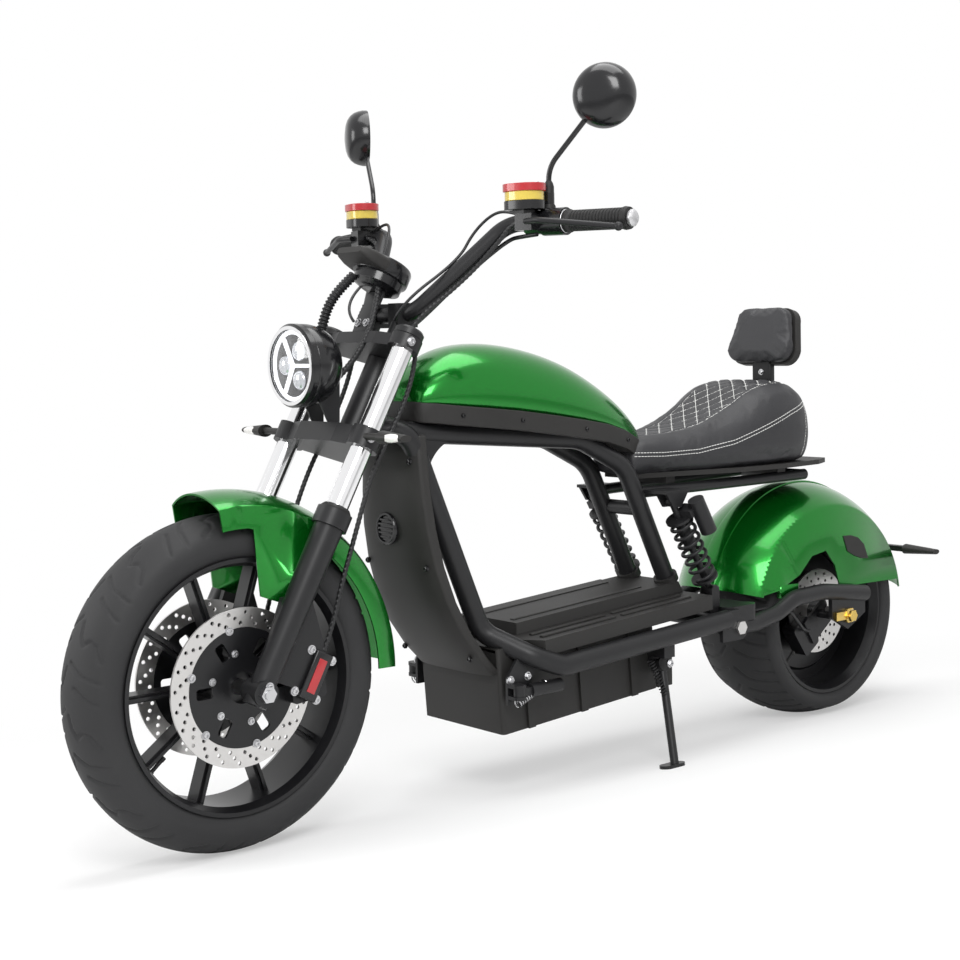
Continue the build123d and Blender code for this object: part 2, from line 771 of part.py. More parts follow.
# Controls: switch housings round the bar, and master cylinders with their reservoirs
control_spot = bar_corner + grip_way * ((control_y - bar_bend_y) / grip_way.Y)
control_plane = Plane(control_spot, x_dir=(1, 0, 0), z_dir=grip_way)
switch_length = 44.0
pump_length = 34.0
pump_ahead = 26.0
reservoir_lift = 62.0
with BuildPart() as controls:
    with BuildSketch(control_plane.offset(-pump_length / 2)):
        Circle(bar_radius + lug_plate)
        with Locations((pump_ahead, 0)):
            Rectangle(pump_ahead, bar_radius * 2)
    extrude(amount=pump_length)
    with BuildSketch(Plane.XY.offset(control_spot.Z + bar_radius - fit_gap)):
        with Locations((control_spot.X + pump_ahead, control_spot.Y)):
            Rectangle(bar_radius * 2, bar_radius * 2)
    extrude(amount=reservoir_lift - reservoir_height - bar_radius + fit_gap)
    with BuildSketch(Plane.XY.offset(control_spot.Z + reservoir_lift - reservoir_height)):
        with Locations((control_spot.X + pump_ahead, control_spot.Y)):
            Circle(reservoir_radius)
    extrude(amount=reservoir_height)
    with BuildSketch(control_plane.offset(pump_length / 2)):
        Circle(bar_radius + lug_plate * 1.5)
    extrude(amount=switch_length - fit_gap)
    add(handlebar.part, mode=Mode.SUBTRACT)
    add(grips.part, mode=Mode.SUBTRACT)
    mirror(about=Plane.XZ)

# Brake levers ahead of the grips
lever_radius = 5.0
lever_start = control_spot + Vector(pump_ahead * 1.5, pump_length / 2, 0)
lever_points = [
    lever_start,
    lever_start + Vector(lug_plate, pump_length, 0),
    Vector(bar_end.X + pump_ahead, bar_end.Y + lug_plate, bar_end.Z - bar_radius),
]
with BuildPart() as levers:
    add(tube(lever_points, [pump_length], lever_radius))
    with Locations(lever_points[-1]):
        Sphere(lever_radius * 1.5)
    add(controls.part, mode=Mode.SUBTRACT)
    mirror(about=Plane.XZ)

# Mirrors on their stems
mirror_middle = bar_middle + Vector(mirror_x, mirror_y, mirror_z)
mirror_normal = Vector(cos(radians(mirror_yaw)), sin(radians(mirror_yaw)), 0)
mirror_plane = Plane(mirror_middle, x_dir=Vector(-mirror_normal.Y, mirror_normal.X, 0), z_dir=mirror_normal)
stem_foot = control_spot + Vector(-bar_radius, pump_length / 2, bar_radius)
stem_bend = stem_foot + Vector(0, 0, reservoir_lift + bar_radius)
with BuildPart() as mirrors:
    with BuildSketch(mirror_plane):
        Circle(mirror_radius)
    with BuildSketch(mirror_plane.offset(mirror_depth / 2)):
        Circle(mirror_radius - lug_plate)
    with BuildSketch(mirror_plane.offset(mirror_depth)):
        Circle(mirror_radius / 2)
    loft()
    add(tube([stem_foot, stem_bend, mirror_middle + mirror_normal * lug_plate], [bar_bend_radius], mirror_stem_radius))
    add(rod(stem_foot + Vector(0, 0, lug_plate), stem_foot + Vector(0, 0, pump_length), mirror_stem_radius * 2))
    add(controls.part, mode=Mode.SUBTRACT)
    add(handlebar.part, mode=Mode.SUBTRACT)
    mirror(about=Plane.XZ)

# Dash: a round cup under a ring, on a bracket from the upper clamp
dash_face = dash_s + dash_height
dash_bracket_u = clamp_boss_radius - lug_plate
with BuildPart() as dash:
    with BuildSketch(fork.offset(dash_s)):
        with Locations((dash_u, 0)):
            Circle(dash_radius - lug_plate)
    extrude(amount=dash_height / 2)
    with BuildSketch(fork.offset(dash_s + dash_height / 2)):
        with Locations((dash_u, 0)):
            Circle(dash_radius)
    extrude(amount=dash_height / 2)
    with BuildSketch(fork.offset(dash_face)):
        with Locations((dash_u, 0)):
            Circle(dash_radius - lug_plate)
    extrude(amount=-fender_wall, mode=Mode.SUBTRACT)
    with BuildSketch(fork.offset(riser_base)):
        with Locations((dash_bracket_u, 0)):
            Rectangle(lug_plate, dash_radius)
    extrude(amount=dash_s - riser_base)
    add(handlebar.part, mode=Mode.SUBTRACT)

# Headlight: a bowl with two ears to the stanchions, a ring and a lens
lamp_spot = fork_at(lamp_u, 0, lamp_s)
lamp_plane = Plane(lamp_spot, x_dir=(0, 1, 0), z_dir=(1, 0, 0))
lens_radius = lamp_ring_radius - lug_plate
ear_spot = fork_at(0, leg_spacing, lamp_s + stanchion_radius * 2)
ear_radius = 10.0
with BuildPart() as headlight:
    for depth, share in ((lamp_ring_depth, 1.0), (lamp_depth * 0.45, 0.95), (lamp_depth * 0.8, 0.7), (lamp_depth, 0.36)):
        with BuildSketch(lamp_plane.offset(-depth)):
            Circle(lamp_radius * share)
    loft()
    ear_root = Vector(lamp_spot.X - lamp_depth / 2, lens_radius / 2, lamp_spot.Z)
    add(rod(ear_spot, ear_root, ear_radius))
    with BuildSketch(fork.offset(lamp_s + stanchion_radius)):
        with Locations((0, leg_spacing)):
            Circle(clamp_boss_radius)
    extrude(amount=stanchion_radius * 2)
    with BuildSketch(fork.offset(lamp_s)):
        with Locations((0, leg_spacing)):
            Circle(stanchion_radius + fit_gap / 2)
    extrude(amount=leg_spacing, mode=Mode.SUBTRACT)
    mirror(about=Plane.XZ)

with BuildPart() as headlight_ring:
    with BuildSketch(lamp_plane.offset(-lamp_ring_depth)):
        Circle(lamp_ring_radius)
        Circle(lens_radius, mode=Mode.SUBTRACT)
    extrude(amount=lamp_ring_depth)

with BuildPart() as headlight_lens:
    with BuildSketch(lamp_plane.offset(-lamp_ring_depth)):
        Circle(lens_radius - fit_gap)
    extrude(amount=lamp_ring_depth - fender_wall)

# Front indicators on stalks from the lower clamp
signal_radius = 11.0
signal_spot = fork_at(clamp_boss_radius / 2, 0, lower_clamp_start + lower_clamp_height / 2)
signal_plane = Plane(signal_spot, x_dir=(1, 0, 0), z_dir=(0, -1, 0))
with BuildPart() as front_indicators:
    with BuildSketch(signal_plane.offset(-leg_spacing)):
        Circle(lug_plate)
    extrude(amount=-(signal_y - leg_spacing))
    with BuildSketch(signal_plane.offset(-signal_y)):
        Ellipse(signal_radius * 1.4, signal_radius)
    with BuildSketch(signal_plane.offset(-signal_y - signal_length)):
        Ellipse(signal_radius, signal_radius / 2)
    loft()
    add(fork_clamps.part, mode=Mode.SUBTRACT)
    add(rod(fork_at(0, leg_spacing, 0), fork_at(0, leg_spacing, stanchion_top), stanchion_radius + fit_gap), mode=Mode.SUBTRACT)
    mirror(about=Plane.XZ)


def fender_section(centre, half, radius, shoulder, edge, start, wall):
    """A fender's open cut: crown arc, shoulders and side walls, at its front end."""
    turn = radians(start)
    inner = half - wall
    place = Plane(centre, x_dir=(0, 1, 0), z_dir=(sin(turn), 0, -cos(turn)))
    with BuildSketch(place) as cut:
        with BuildLine():
            Line((-half, edge), (-half, shoulder))
            ThreePointArc((-half, shoulder), (0, radius), (half, shoulder))
            Polyline((half, shoulder), (half, edge), (inner, edge), (inner, shoulder - wall / 2))
            ThreePointArc((inner, shoulder - wall / 2), (0, radius - wall), (-inner, shoulder - wall / 2))
            Polyline((-inner, shoulder - wall / 2), (-inner, edge), (-half, edge))
        make_face()
    return cut.sketch


# Front fender with a stay plate and boss to each leg
stay_boss = fork_at(0, leg_spacing, 192)
with BuildPart() as front_fender:
    revolve(
        fender_section(
            front_centre,
            front_fender_half,
            front_fender_radius,
            front_fender_shoulder,
            front_fender_edge,
            front_fender_front,
            fender_wall,
        ),
        axis=Axis(front_centre, (0, -1, 0)),
        revolution_arc=front_fender_tail - front_fender_front,
    )
    with BuildSketch(Plane.XZ.offset(-front_fender_half)):
        Polygon(
            (1452, 545),
            (1410, 533),
            (1401, 424),
            (1360, 408),
            (1322, 440),
            (1290, 500),
            (1340, 552),
            (1400, 560),
            align=None,
        )
    extrude(amount=fender_wall)
    with BuildSketch(Plane.XZ.offset(-front_fender_half + fender_wall)):
        with Locations((stay_boss.X, stay_boss.Z)):
            Circle(axle_spacer_radius)
    extrude(amount=-(leg_spacing - front_fender_half - stanchion_radius))
    add(fork_lowers.part, mode=Mode.SUBTRACT)
    mirror(about=Plane.XZ)

# Rear fender with side walls cut out over the swingarm
rear_fender_centre = Vector(rear_fender_ahead, 0, rear_axle_z - 1)
skirt_low = 284.0
arch_front = 191.0
arch_rear = -4.0
arch_top = 366.0
with BuildPart() as rear_fender:
    revolve(
        fender_section(
            rear_fender_centre,
            rear_fender_half,
            rear_fender_radius,
            rear_fender_shoulder,
            rear_fender_shoulder - lug_plate,
            rear_fender_front,
            fender_wall,
        ),
        axis=Axis(rear_fender_centre, (0, -1, 0)),
        revolution_arc=rear_fender_tail - rear_fender_front,
    )
    with BuildSketch(Plane.XZ.offset(-rear_fender_half)):
        with Locations((rear_fender_centre.X, rear_fender_centre.Z)):
            Circle(rear_fender_shoulder)
        with Locations((rear_fender_centre.X, skirt_low + rear_fender_radius / 2)):
            Rectangle(rear_fender_radius * 2, rear_fender_radius, mode=Mode.INTERSECT)
        Polygon(
            (rear_fender_radius, skirt_low - 1),
            (rear_fender_radius, skirt_low + 14),
            (arch_front, skirt_low + 14),
            (126, 324),
            (87, 359),
            (42, arch_top),
            (12, 333),
            (arch_rear, skirt_low),
            (arch_rear, skirt_low - 1),
            align=None,
            mode=Mode.SUBTRACT,
        )
    extrude(amount=fender_wall)
    with BuildSketch(Plane.XZ.offset(-rear_fender_half)):
        Polygon(
            (arch_front, skirt_low + 24),
            (arch_front, arm_route[3][1]),
            (arm_route[3][0] - axle_plate_low, arm_route[3][1]),
            (arm_route[3][0] - axle_plate_low, skirt_low + 24),
            align=None,
        )
    extrude(amount=lug_plate, both=True)
    add(swingarm.part, mode=Mode.SUBTRACT)
    mirror(about=Plane.XZ)

# Tail bracket across the rear fender, with the tail light and rear indicators on it
tail_bar_x = -262.0
tail_bar_z = 338.0
tail_bar_half = 96.0
tail_light_half = 34.0
tail_light_z = 384.0
with BuildPart() as tail_bracket:
    with BuildSketch(Plane.XY.offset(tail_bar_z - lug_plate)):
        with Locations((tail_bar_x + rear_strip_half, 0)):
            Rectangle(rear_strip_half * 2, rear_strip_half * 3)
        with Locations((tail_bar_x, 0)):
            Rectangle(lug_thickness * 2, tail_bar_half * 2)
    extrude(amount=lug_plate * 2)
    with BuildSketch(Plane.XZ):
        with Locations((rear_fender_centre.X, rear_fender_centre.Z)):
            Circle(rear_fender_radius)
    extrude(amount=tail_bar_half, both=True, mode=Mode.SUBTRACT)
with BuildPart() as rear_indicators:
    with BuildSketch(Plane.XZ.offset(-tail_bar_half - fit_gap)):
        with Locations((tail_bar_x, tail_bar_z)):
            Ellipse(signal_radius * 1.4, signal_radius)
    with BuildSketch(Plane.XZ.offset(-tail_bar_half - signal_length * 1.3)):
        with Locations((tail_bar_x, tail_bar_z)):
            Ellipse(signal_radius, signal_radius / 2)
    loft()
    mirror(about=Plane.XZ)
with BuildPart() as tail_light:
    with BuildSketch(Plane.XZ):
        with Locations((rear_fender_centre.X - rear_fender_radius * 0.826, tail_light_z)):
            SlotOverall(tail_light_half, signal_radius * 2, rotation=60)
    extrude(amount=tail_light_half, both=True)
    with BuildSketch(Plane.XZ):
        with Locations((rear_fender_centre.X, rear_fender_centre.Z)):
            Circle(rear_fender_radius)
    extrude(amount=tail_light_half, both=True, mode=Mode.SUBTRACT)

# Head tube on the steering axis
head_low = lower_clamp_start + lower_clamp_height + bearing_gap * 2
head_high = upper_clamp_start - bearing_gap
with BuildPart() as head_tube:
    with BuildSketch(fork.offset(head_low)):
        with Locations((-steering_offset, 0)):
            Circle(head_tube_radius)
            Circle(head_tube_bore, mode=Mode.SUBTRACT)
    extrude(amount=head_high - head_low)
head_solid = rod(fork_at(-steering_offset, 0, head_low), fork_at(-steering_offset, 0, head_high), head_tube_radius)

# Top rails, bent down at the back into uprights that pass through the deck
upper_tubes = tube(top_rail_route, top_rail_bends, top_rail_radius)
with BuildPart() as top_rails:
    add(upper_tubes)
    split(bisect_by=Plane.YZ.offset(upright_split_x), keep=Keep.TOP)
    add(head_solid, mode=Mode.SUBTRACT)
    mirror(about=Plane.XZ)

# Rear cross tube between the deck rails, which the uprights end in
with BuildPart() as rear_cross:
    with BuildSketch(Plane.XZ.offset(-deck_rail_y)):
        with Locations((rear_cross_x, rear_cross_z)):
            Circle(cross_tube_radius)
    extrude(amount=deck_rail_y * 2)

with BuildPart() as rear_uprights:
    add(upper_tubes)
    split(bisect_by=Plane.YZ.offset(upright_split_x), keep=Keep.BOTTOM)
    add(rear_cross.part, mode=Mode.SUBTRACT)
    mirror(about=Plane.XZ)

# Down tubes, splayed out at the foot into the deck rails
cradle = tube(down_tube_route + [deck_rail_end], down_tube_bends, frame_tube_radius)
with BuildPart() as down_tubes:
    add(cradle)
    split(bisect_by=Plane.YZ.offset(cradle_split_x), keep=Keep.TOP)
    add(head_solid, mode=Mode.SUBTRACT)
    add(top_rails.part, mode=Mode.SUBTRACT)
    mirror(about=Plane.XZ)

with BuildPart() as deck_rails:
    add(cradle)
    split(bisect_by=Plane.YZ.offset(cradle_split_x), keep=Keep.BOTTOM)
    mirror(about=Plane.XZ)

with BuildPart() as frame_crosses:
    with BuildSketch(Plane.XZ.offset(-top_rail_y)):
        with Locations((cross_tube_x - 8, cross_tube_z)):
            Circle(cross_tube_radius)
    extrude(amount=top_rail_y * 2)
    add(rear_cross.part)
    add(deck_rails.part, mode=Mode.SUBTRACT)
    add(rear_uprights.part, mode=Mode.SUBTRACT)

# Swingarm pivot plates on the deck rails, with the pivot bolt through them
with BuildPart() as pivot_plates:
    with BuildSketch(Plane.XZ.offset(-pivot_plate_y)):
        with Locations((pivot_x, pivot_z)):
            Circle(pivot_plate_rear)
            with Locations((pivot_plate_front / 2, lug_plate)):
                Rectangle(pivot_plate_front, pivot_plate_half_height * 2)
    extrude(amount=pivot_plate_half, both=True)
    add(deck_rails.part, mode=Mode.SUBTRACT)
    add(frame_crosses.part, mode=Mode.SUBTRACT)
    with BuildSketch(Plane.XZ.offset(-pivot_plate_y)):
        with Locations((pivot_x, pivot_z)):
            Circle(pivot_bolt_radius + fit_gap / 2)
    extrude(amount=pivot_plate_half, both=True, mode=Mode.SUBTRACT)
    mirror(about=Plane.XZ)

with BuildPart() as pivot_bolt:
    with BuildSketch(Plane.XZ.offset(-pivot_plate_y - pivot_plate_half - lug_plate)):
        with Locations((pivot_x, pivot_z)):
            Circle(pivot_bolt_radius)
    extrude(amount=(pivot_plate_y + pivot_plate_half + lug_plate) * 2)
    with BuildSketch(Plane.XZ.offset(-pivot_plate_y - pivot_plate_half - fit_gap)):
        with Locations((pivot_x, pivot_z)):
            RegularPolygon(axle_head_radius, 6)
    extrude(amount=-lug_plate)
    mirror(about=Plane.XZ)

# Gussets between the down tubes and the top rails
with BuildPart() as frame_gussets:
    with BuildSketch(Plane.XZ.offset(-top_rail_y)):
        with BuildLine():
            Polyline((960, 652), (1100, 668), (1078, 650), (1040, 560))
            ThreePointArc((1040, 560), (1024, 628), (960, 652))
        make_face()
    extrude(amount=gusset_thickness / 2, both=True)
    add(down_tubes.part, mode=Mode.SUBTRACT)
    add(top_rails.part, mode=Mode.SUBTRACT)
    mirror(about=Plane.XZ)

# Seat rails behind the uprights, with lugs for the shocks' upper ends
with BuildPart() as seat_rails:
    add(tube([seat_rail_front, (350.0, 66.0, 524.0), seat_rail_rear], [200.0], seat_rail_radius))
    with BuildSketch(Plane.XZ.offset(-shock_y + shock_eye_half + fit_gap)):
        Polygon(
            (shock_top_x + shock_eye_radius, shock_top_z - shock_eye_radius),
            (shock_top_x + shock_eye_radius * 3, shock_top_z + shock_eye_radius * 2),
            (shock_top_x - shock_eye_radius * 3, shock_top_z + shock_eye_radius * 2),
            (shock_top_x - shock_eye_radius, shock_top_z - shock_eye_radius),
            align=None,
        )
    extrude(amount=lug_plate)
    with BuildSketch(Plane.XZ.offset(-shock_y - shock_eye_half - fit_gap)):
        Polygon(
            (shock_top_x + shock_eye_radius, shock_top_z - shock_eye_radius),
            (shock_top_x + shock_eye_radius * 3, shock_top_z + shock_eye_radius * 2),
            (shock_top_x - shock_eye_radius * 3, shock_top_z + shock_eye_radius * 2),
            (shock_top_x - shock_eye_radius, shock_top_z - shock_eye_radius),
            align=None,
        )
    extrude(amount=-lug_plate)
    with BuildSketch(Plane.XY.offset(shock_top_z + shock_eye_radius * 2)):
        with Locations((shock_top_x, (shock_y + top_rail_y) / 2 + lug_plate)):
            Rectangle(shock_eye_radius * 6, shock_y - top_rail_y + shock_eye_half + lug_plate * 2)
    extrude(amount=-lug_plate)
    add(rear_uprights.part, mode=Mode.SUBTRACT)
    add(top_rails.part, mode=Mode.SUBTRACT)
    mirror(about=Plane.XZ)
    with BuildSketch(Plane.XZ.offset(-seat_rail_rear[1])):
        with Locations((seat_rail_rear[0] + seat_rail_radius, seat_rail_rear[2])):
            Circle(seat_rail_radius)
    extrude(amount=seat_rail_rear[1] * 2)


def tank_body(tops, bottoms, grow):
    """A loft through the tank's stations, between two lines, grown by a margin."""
    with BuildPart() as made:
        for x, bottom, top, half in zip(tank_stations, bottoms, tops, tank_halves):
            side = half + grow
            with BuildSketch(Plane((x, 0, 0), x_dir=(0, 1, 0), z_dir=(1, 0, 0))):
                with BuildLine():
                    Line((-side, bottom - grow), (side, bottom - grow))
                    Line((side, bottom - grow), (side, bottom + (top - bottom) / 4))
                    ThreePointArc(
                        (side, bottom + (top - bottom) / 4),
                        (0, top + grow),
                        (-side, bottom + (top - bottom) / 4),
                    )
                    Line((-side, bottom + (top - bottom) / 4), (-side, bottom - grow))
                make_face()
        loft()
    return made.part


# Tank cover, lofted from the steering head back to the seat
with BuildPart() as tank_cover:
    add(tank_body(tank_tops, tank_bottoms, 0))
    add(top_rails.part, mode=Mode.SUBTRACT)

# Trim band under the tank cover, resting on the top rails
trim_bottoms = [bottom - trim_height for bottom in tank_bottoms]
trim_tops = [bottom + trim_height for bottom in tank_bottoms]
with BuildPart() as tank_trim:
    add(tank_body(trim_tops, trim_bottoms, fit_gap * 4))
    add(tank_body(tank_tops, tank_bottoms, 0), mode=Mode.SUBTRACT)
    with BuildSketch(Plane((0, 0, 0), x_dir=(1, 0, 0), z_dir=(0, -1, 0))):
        Polygon(
            *[(x, bottom) for x, bottom in zip(tank_stations, tank_bottoms)],
            (tank_stations[-1] - trim_height, tank_bottoms[-1]),
            (tank_stations[-1] - trim_height, tank_tops[3]),
            (tank_stations[0] + trim_height, tank_tops[3]),
            (tank_stations[0] + trim_height, tank_bottoms[0]),
            align=None,
        )
    extrude(amount=deck_rail_y, both=True, mode=Mode.SUBTRACT)
    add(top_rails.part, mode=Mode.SUBTRACT)

# Leg shield between the down tubes
shield_spread = shield_half_bottom - shield_half_top
with BuildPart() as leg_shield:
    with BuildSketch(Plane((0, 0, 0), x_dir=(1, 0, 0), z_dir=(0, -1, 0))):
        Polygon(*shield_front, *shield_rear, align=None)
    extrude(amount=shield_half_bottom, both=True)
    with BuildSketch(Plane.YZ.offset(shield_rear[0][0] - horn_depth)):
        Polygon(
            (-shield_half_bottom, shield_rear[0][1]),
            (shield_half_bottom, shield_rear[0][1]),
            (shield_half_bottom, shield_front[4][1]),
            (shield_half_top, shield_front[0][1]),
            (-shield_half_top, shield_front[0][1]),
            (-shield_half_bottom, shield_front[4][1]),
            align=None,
        )
    extrude(amount=deck_rail_y * 2, mode=Mode.INTERSECT)
    for side_y in (1, -1):
        spine = [(x, y * side_y, z) for x, y, z in down_tube_route + [deck_rail_end]]
        add(tube(spine, down_tube_bends, frame_tube_radius + fit_gap), mode=Mode.SUBTRACT)
    with BuildSketch(Plane.YZ.offset(shield_front[1][0])):
        with Locations((0, horn_z)):
            Circle(horn_radius + fit_gap)
    extrude(amount=-horn_depth * 2, mode=Mode.SUBTRACT)

# Horn let into the shield
with BuildPart() as horn:
    with BuildSketch(Plane.YZ.offset(shield_front[1][0])):
        with Locations((0, horn_z)):
            Circle(horn_radius)
    extrude(amount=-horn_depth * 2)

# Battery box hung under the deck, with ribs on its sides, and the battery inside
box_length = box_front - box_rear
box_middle = (box_front + box_rear) / 2
with BuildPart() as battery_box:
    with BuildSketch(deck.offset(box_bottom)):
        with Locations((box_middle, 0)):
            RectangleRounded(box_length, box_half_width * 2, lug_thickness)
    extrude(amount=box_top - box_bottom)
    with BuildSketch(deck.offset(box_bottom)):
        with GridLocations(box_length / 3, 0, 3, 1):
            with Locations((box_middle, 0)):
                Rectangle(box_rib_width, (box_half_width + box_rib_height) * 2)
    extrude(amount=box_top - box_bottom - box_rib_width)
    with BuildSketch(deck.offset(box_bottom + box_wall)):
        with Locations((box_middle, 0)):
            Rectangle(box_length - box_wall * 2, (box_half_width - box_wall) * 2)
    extrude(amount=box_top - box_bottom - box_wall * 2, mode=Mode.SUBTRACT)
    for side_y in (1, -1):
        spine = [(x, y * side_y, z) for x, y, z in down_tube_route + [deck_rail_end]]
        add(tube(spine, down_tube_bends, frame_tube_radius + fit_gap), mode=Mode.SUBTRACT)
    add(leg_shield.part, mode=Mode.SUBTRACT)

with BuildPart() as battery:
    with BuildSketch(deck.offset(box_bottom + box_wall + fit_gap)):
        with Locations((box_middle, 0)):
            Rectangle(box_length - (box_wall + battery_gap) * 2, (box_half_width - box_wall - battery_gap) * 2)
    extrude(amount=box_top - box_bottom - (box_wall + battery_gap) * 2)
    for side_y in (1, -1):
        spine = [(x, y * side_y, z) for x, y, z in down_tube_route + [deck_rail_end]]
        add(tube(spine, down_tube_bends, frame_tube_radius + battery_gap * 4), mode=Mode.SUBTRACT)

# Deck boards over the rails, with skirts
deck_plan = [
    (0, -deck_raised_half),
    (0, deck_raised_half),
    (-deck_corner, deck_half_width),
    (-deck_length, deck_half_width),
    (-deck_length, -deck_half_width),
    (-deck_corner, -deck_half_width),
]
board_height = deck_step_height - deck_step_thickness
with BuildPart() as deck_board:
    with BuildSketch(deck.offset(deck_skirt)):
        Polygon(*deck_plan, align=None)
    extrude(amount=deck_step_height - deck_skirt)
    with BuildSketch(deck.offset(deck_skirt)):
        Polygon(*deck_plan, align=None)
        offset(amount=-deck_step_thickness)
    extrude(amount=board_height - deck_skirt, mode=Mode.SUBTRACT)
    with BuildSketch(deck.offset(deck_skirt)):
        with Locations((box_middle, 0)):
            Rectangle(box_length + fit_gap * 2, (box_half_width + box_rib_height + fit_gap) * 2)
    extrude(amount=board_height - deck_skirt, mode=Mode.SUBTRACT)
    for side_y in (1, -1):
        spine = [(x, y * side_y, z) for x, y, z in down_tube_route + [deck_rail_end]]
        add(tube(spine, down_tube_bends, frame_tube_radius + fit_gap), mode=Mode.SUBTRACT)
        low_end = Vector(top_rail_route[4][0], top_rail_y * side_y, top_rail_route[4][2])
        high_end = Vector(top_rail_route[3][0], top_rail_y * side_y, top_rail_route[3][2])
        add(rod(low_end, high_end, top_rail_radius + fit_gap), mode=Mode.SUBTRACT)

# Raised cover along the middle of the deck, with collars round the uprights
with BuildPart() as deck_cover:
    with BuildSketch(deck.offset(deck_step_height + fit_gap)):
        with Locations((-deck_length / 2 - deck_corner / 2, 0)):
            Rectangle(deck_length - deck_corner, deck_raised_half * 2)
    extrude(amount=deck_raised_height - deck_step_height, taper=deck_slope * 4)
    upright_way = Plane(
        (top_rail_route[4][0], top_rail_y, top_rail_route[4][2]),
        z_dir=Vector(top_rail_route[3]) - Vector(top_rail_route[4]),
    )
    with BuildSketch(upright_way.offset(deck_raised_half + fit_gap)):
        Circle(top_rail_radius + collar_wall)
    extrude(amount=collar_height)
    mirror(about=Plane.XZ)
    for side_y in (top_rail_y, -top_rail_y):
        low_end = Vector(top_rail_route[4][0], side_y, top_rail_route[4][2])
        high_end = Vector(top_rail_route[3][0], side_y, top_rail_route[3][2])
        add(rod(low_end, high_end, top_rail_radius + fit_gap), mode=Mode.SUBTRACT)

# Controller box behind the battery box
with BuildPart() as controller_box:
    with BuildSketch(Plane.XY.offset(controller_low)):
        with Locations(((controller_front + controller_rear) / 2, 0)):
            RectangleRounded(controller_front - controller_rear, box_half_width * 2 - box_wall, lug_thickness)
    extrude(amount=controller_high - controller_low)

# Backrest strut, a flat bar that rises from the seat rails through the seat
seat_floor = seat_base_z + seat_base_thickness
strut_foot = Vector(strut_x - lug_plate, 0, seat_floor)
strut_head = Vector(back_x + back_thickness / 4, 0, back_z)
strut_plane = Plane(strut_foot, x_dir=(0, 1, 0), z_dir=strut_head - strut_foot)
strut_length = (strut_head - strut_foot).length
strut_below = seat_floor - seat_rail_rear[2]
with BuildPart() as backrest_strut:
    with BuildSketch(strut_plane.offset(-strut_below)):
        Rectangle(strut_half_width * 2, strut_thickness)
    extrude(amount=strut_length + strut_below)
    with BuildSketch(Plane.XY.offset(seat_rail_rear[2])):
        with Locations((strut_foot.X - lug_plate, 0)):
            Rectangle(strut_half_width, strut_half_width * 2)
    extrude(amount=seat_base_z - seat_rail_rear[2] - fit_gap)
    add(seat_rails.part, mode=Mode.SUBTRACT)

# Seat base and the padded seat on it
plan_left = list(zip(seat_width_stations, seat_half_widths))
plan_right = [(x, -half) for x, half in reversed(plan_left)]
base_inset = seat_round * 1.5
with BuildPart() as seat_base:
    with BuildSketch(Plane.XY.offset(seat_base_z)):
        Polygon(*plan_left, *plan_right, align=None)
        offset(amount=-base_inset)
    extrude(amount=seat_base_thickness - fit_gap)
    with BuildSketch(Plane.XY.offset(seat_base_z)):
        with Locations((seat_rail_rear[0] + base_inset * 3, 0)):
            Rectangle(base_inset, seat_rail_rear[1] * 2)
        with Locations((seat_rail_front[0] - base_inset * 4, 0)):
            Rectangle(base_inset, top_rail_y * 2)
    extrude(amount=-(seat_base_z - seat_rail_rear[2] - seat_rail_radius / 2))
    add(seat_rails.part, mode=Mode.SUBTRACT)
    add(backrest_strut.part, mode=Mode.SUBTRACT)
    add(tank_body(tank_tops, tank_bottoms, fit_gap), mode=Mode.SUBTRACT)
    add(tank_body(trim_tops, trim_bottoms, fit_gap * 5), mode=Mode.SUBTRACT)

with BuildPart() as seat_pad:
    with BuildSketch(Plane((0, 0, 0), x_dir=(1, 0, 0), z_dir=(0, -1, 0))):
        Polygon(*seat_top_line, (seat_rear_x, seat_floor), (seat_front_x, seat_floor), align=None)
    extrude(amount=seat_half_rear, both=True)
    with BuildSketch(Plane.XY.offset(seat_floor)):
        Polygon(*plan_left, *plan_right, align=None)
    extrude(amount=back_z - seat_floor, mode=Mode.INTERSECT)
    add(tank_body(tank_tops, tank_bottoms, fit_gap), mode=Mode.SUBTRACT)
    add(tank_body(trim_tops, trim_bottoms, fit_gap * 5), mode=Mode.SUBTRACT)
    for side_y in (1, -1):
        spine = [(x, y * side_y, z) for x, y, z in top_rail_route]
        add(tube(spine, top_rail_bends, top_rail_radius + fit_gap), mode=Mode.SUBTRACT)
    with BuildSketch(strut_plane.offset(-seat_round)):
        Rectangle(strut_half_width * 2 + fit_gap * 2, strut_thickness + fit_gap * 2)
    extrude(amount=strut_length, mode=Mode.SUBTRACT)

# Backrest pad
back_plane = Plane(
    (back_x, 0, back_z),
    x_dir=(0, 1, 0),
    z_dir=(cos(radians(back_tilt)), 0, sin(radians(back_tilt))),
)
with BuildPart() as backrest_pad:
    with BuildSketch(back_plane):
        RectangleRounded(back_half_width * 2, back_half_height * 2, back_half_height / 2)
    extrude(amount=back_thickness / 2, both=True)
    fillet(backrest_pad.edges().filter_by(GeomType.CIRCLE), radius=seat_round / 2)
    with BuildSketch(strut_plane.offset(-seat_round)):
        Rectangle(strut_half_width * 2 + fit_gap * 2, strut_thickness + fit_gap * 2)
    extrude(amount=strut_length + seat_round + fit_gap * 2, mode=Mode.SUBTRACT)

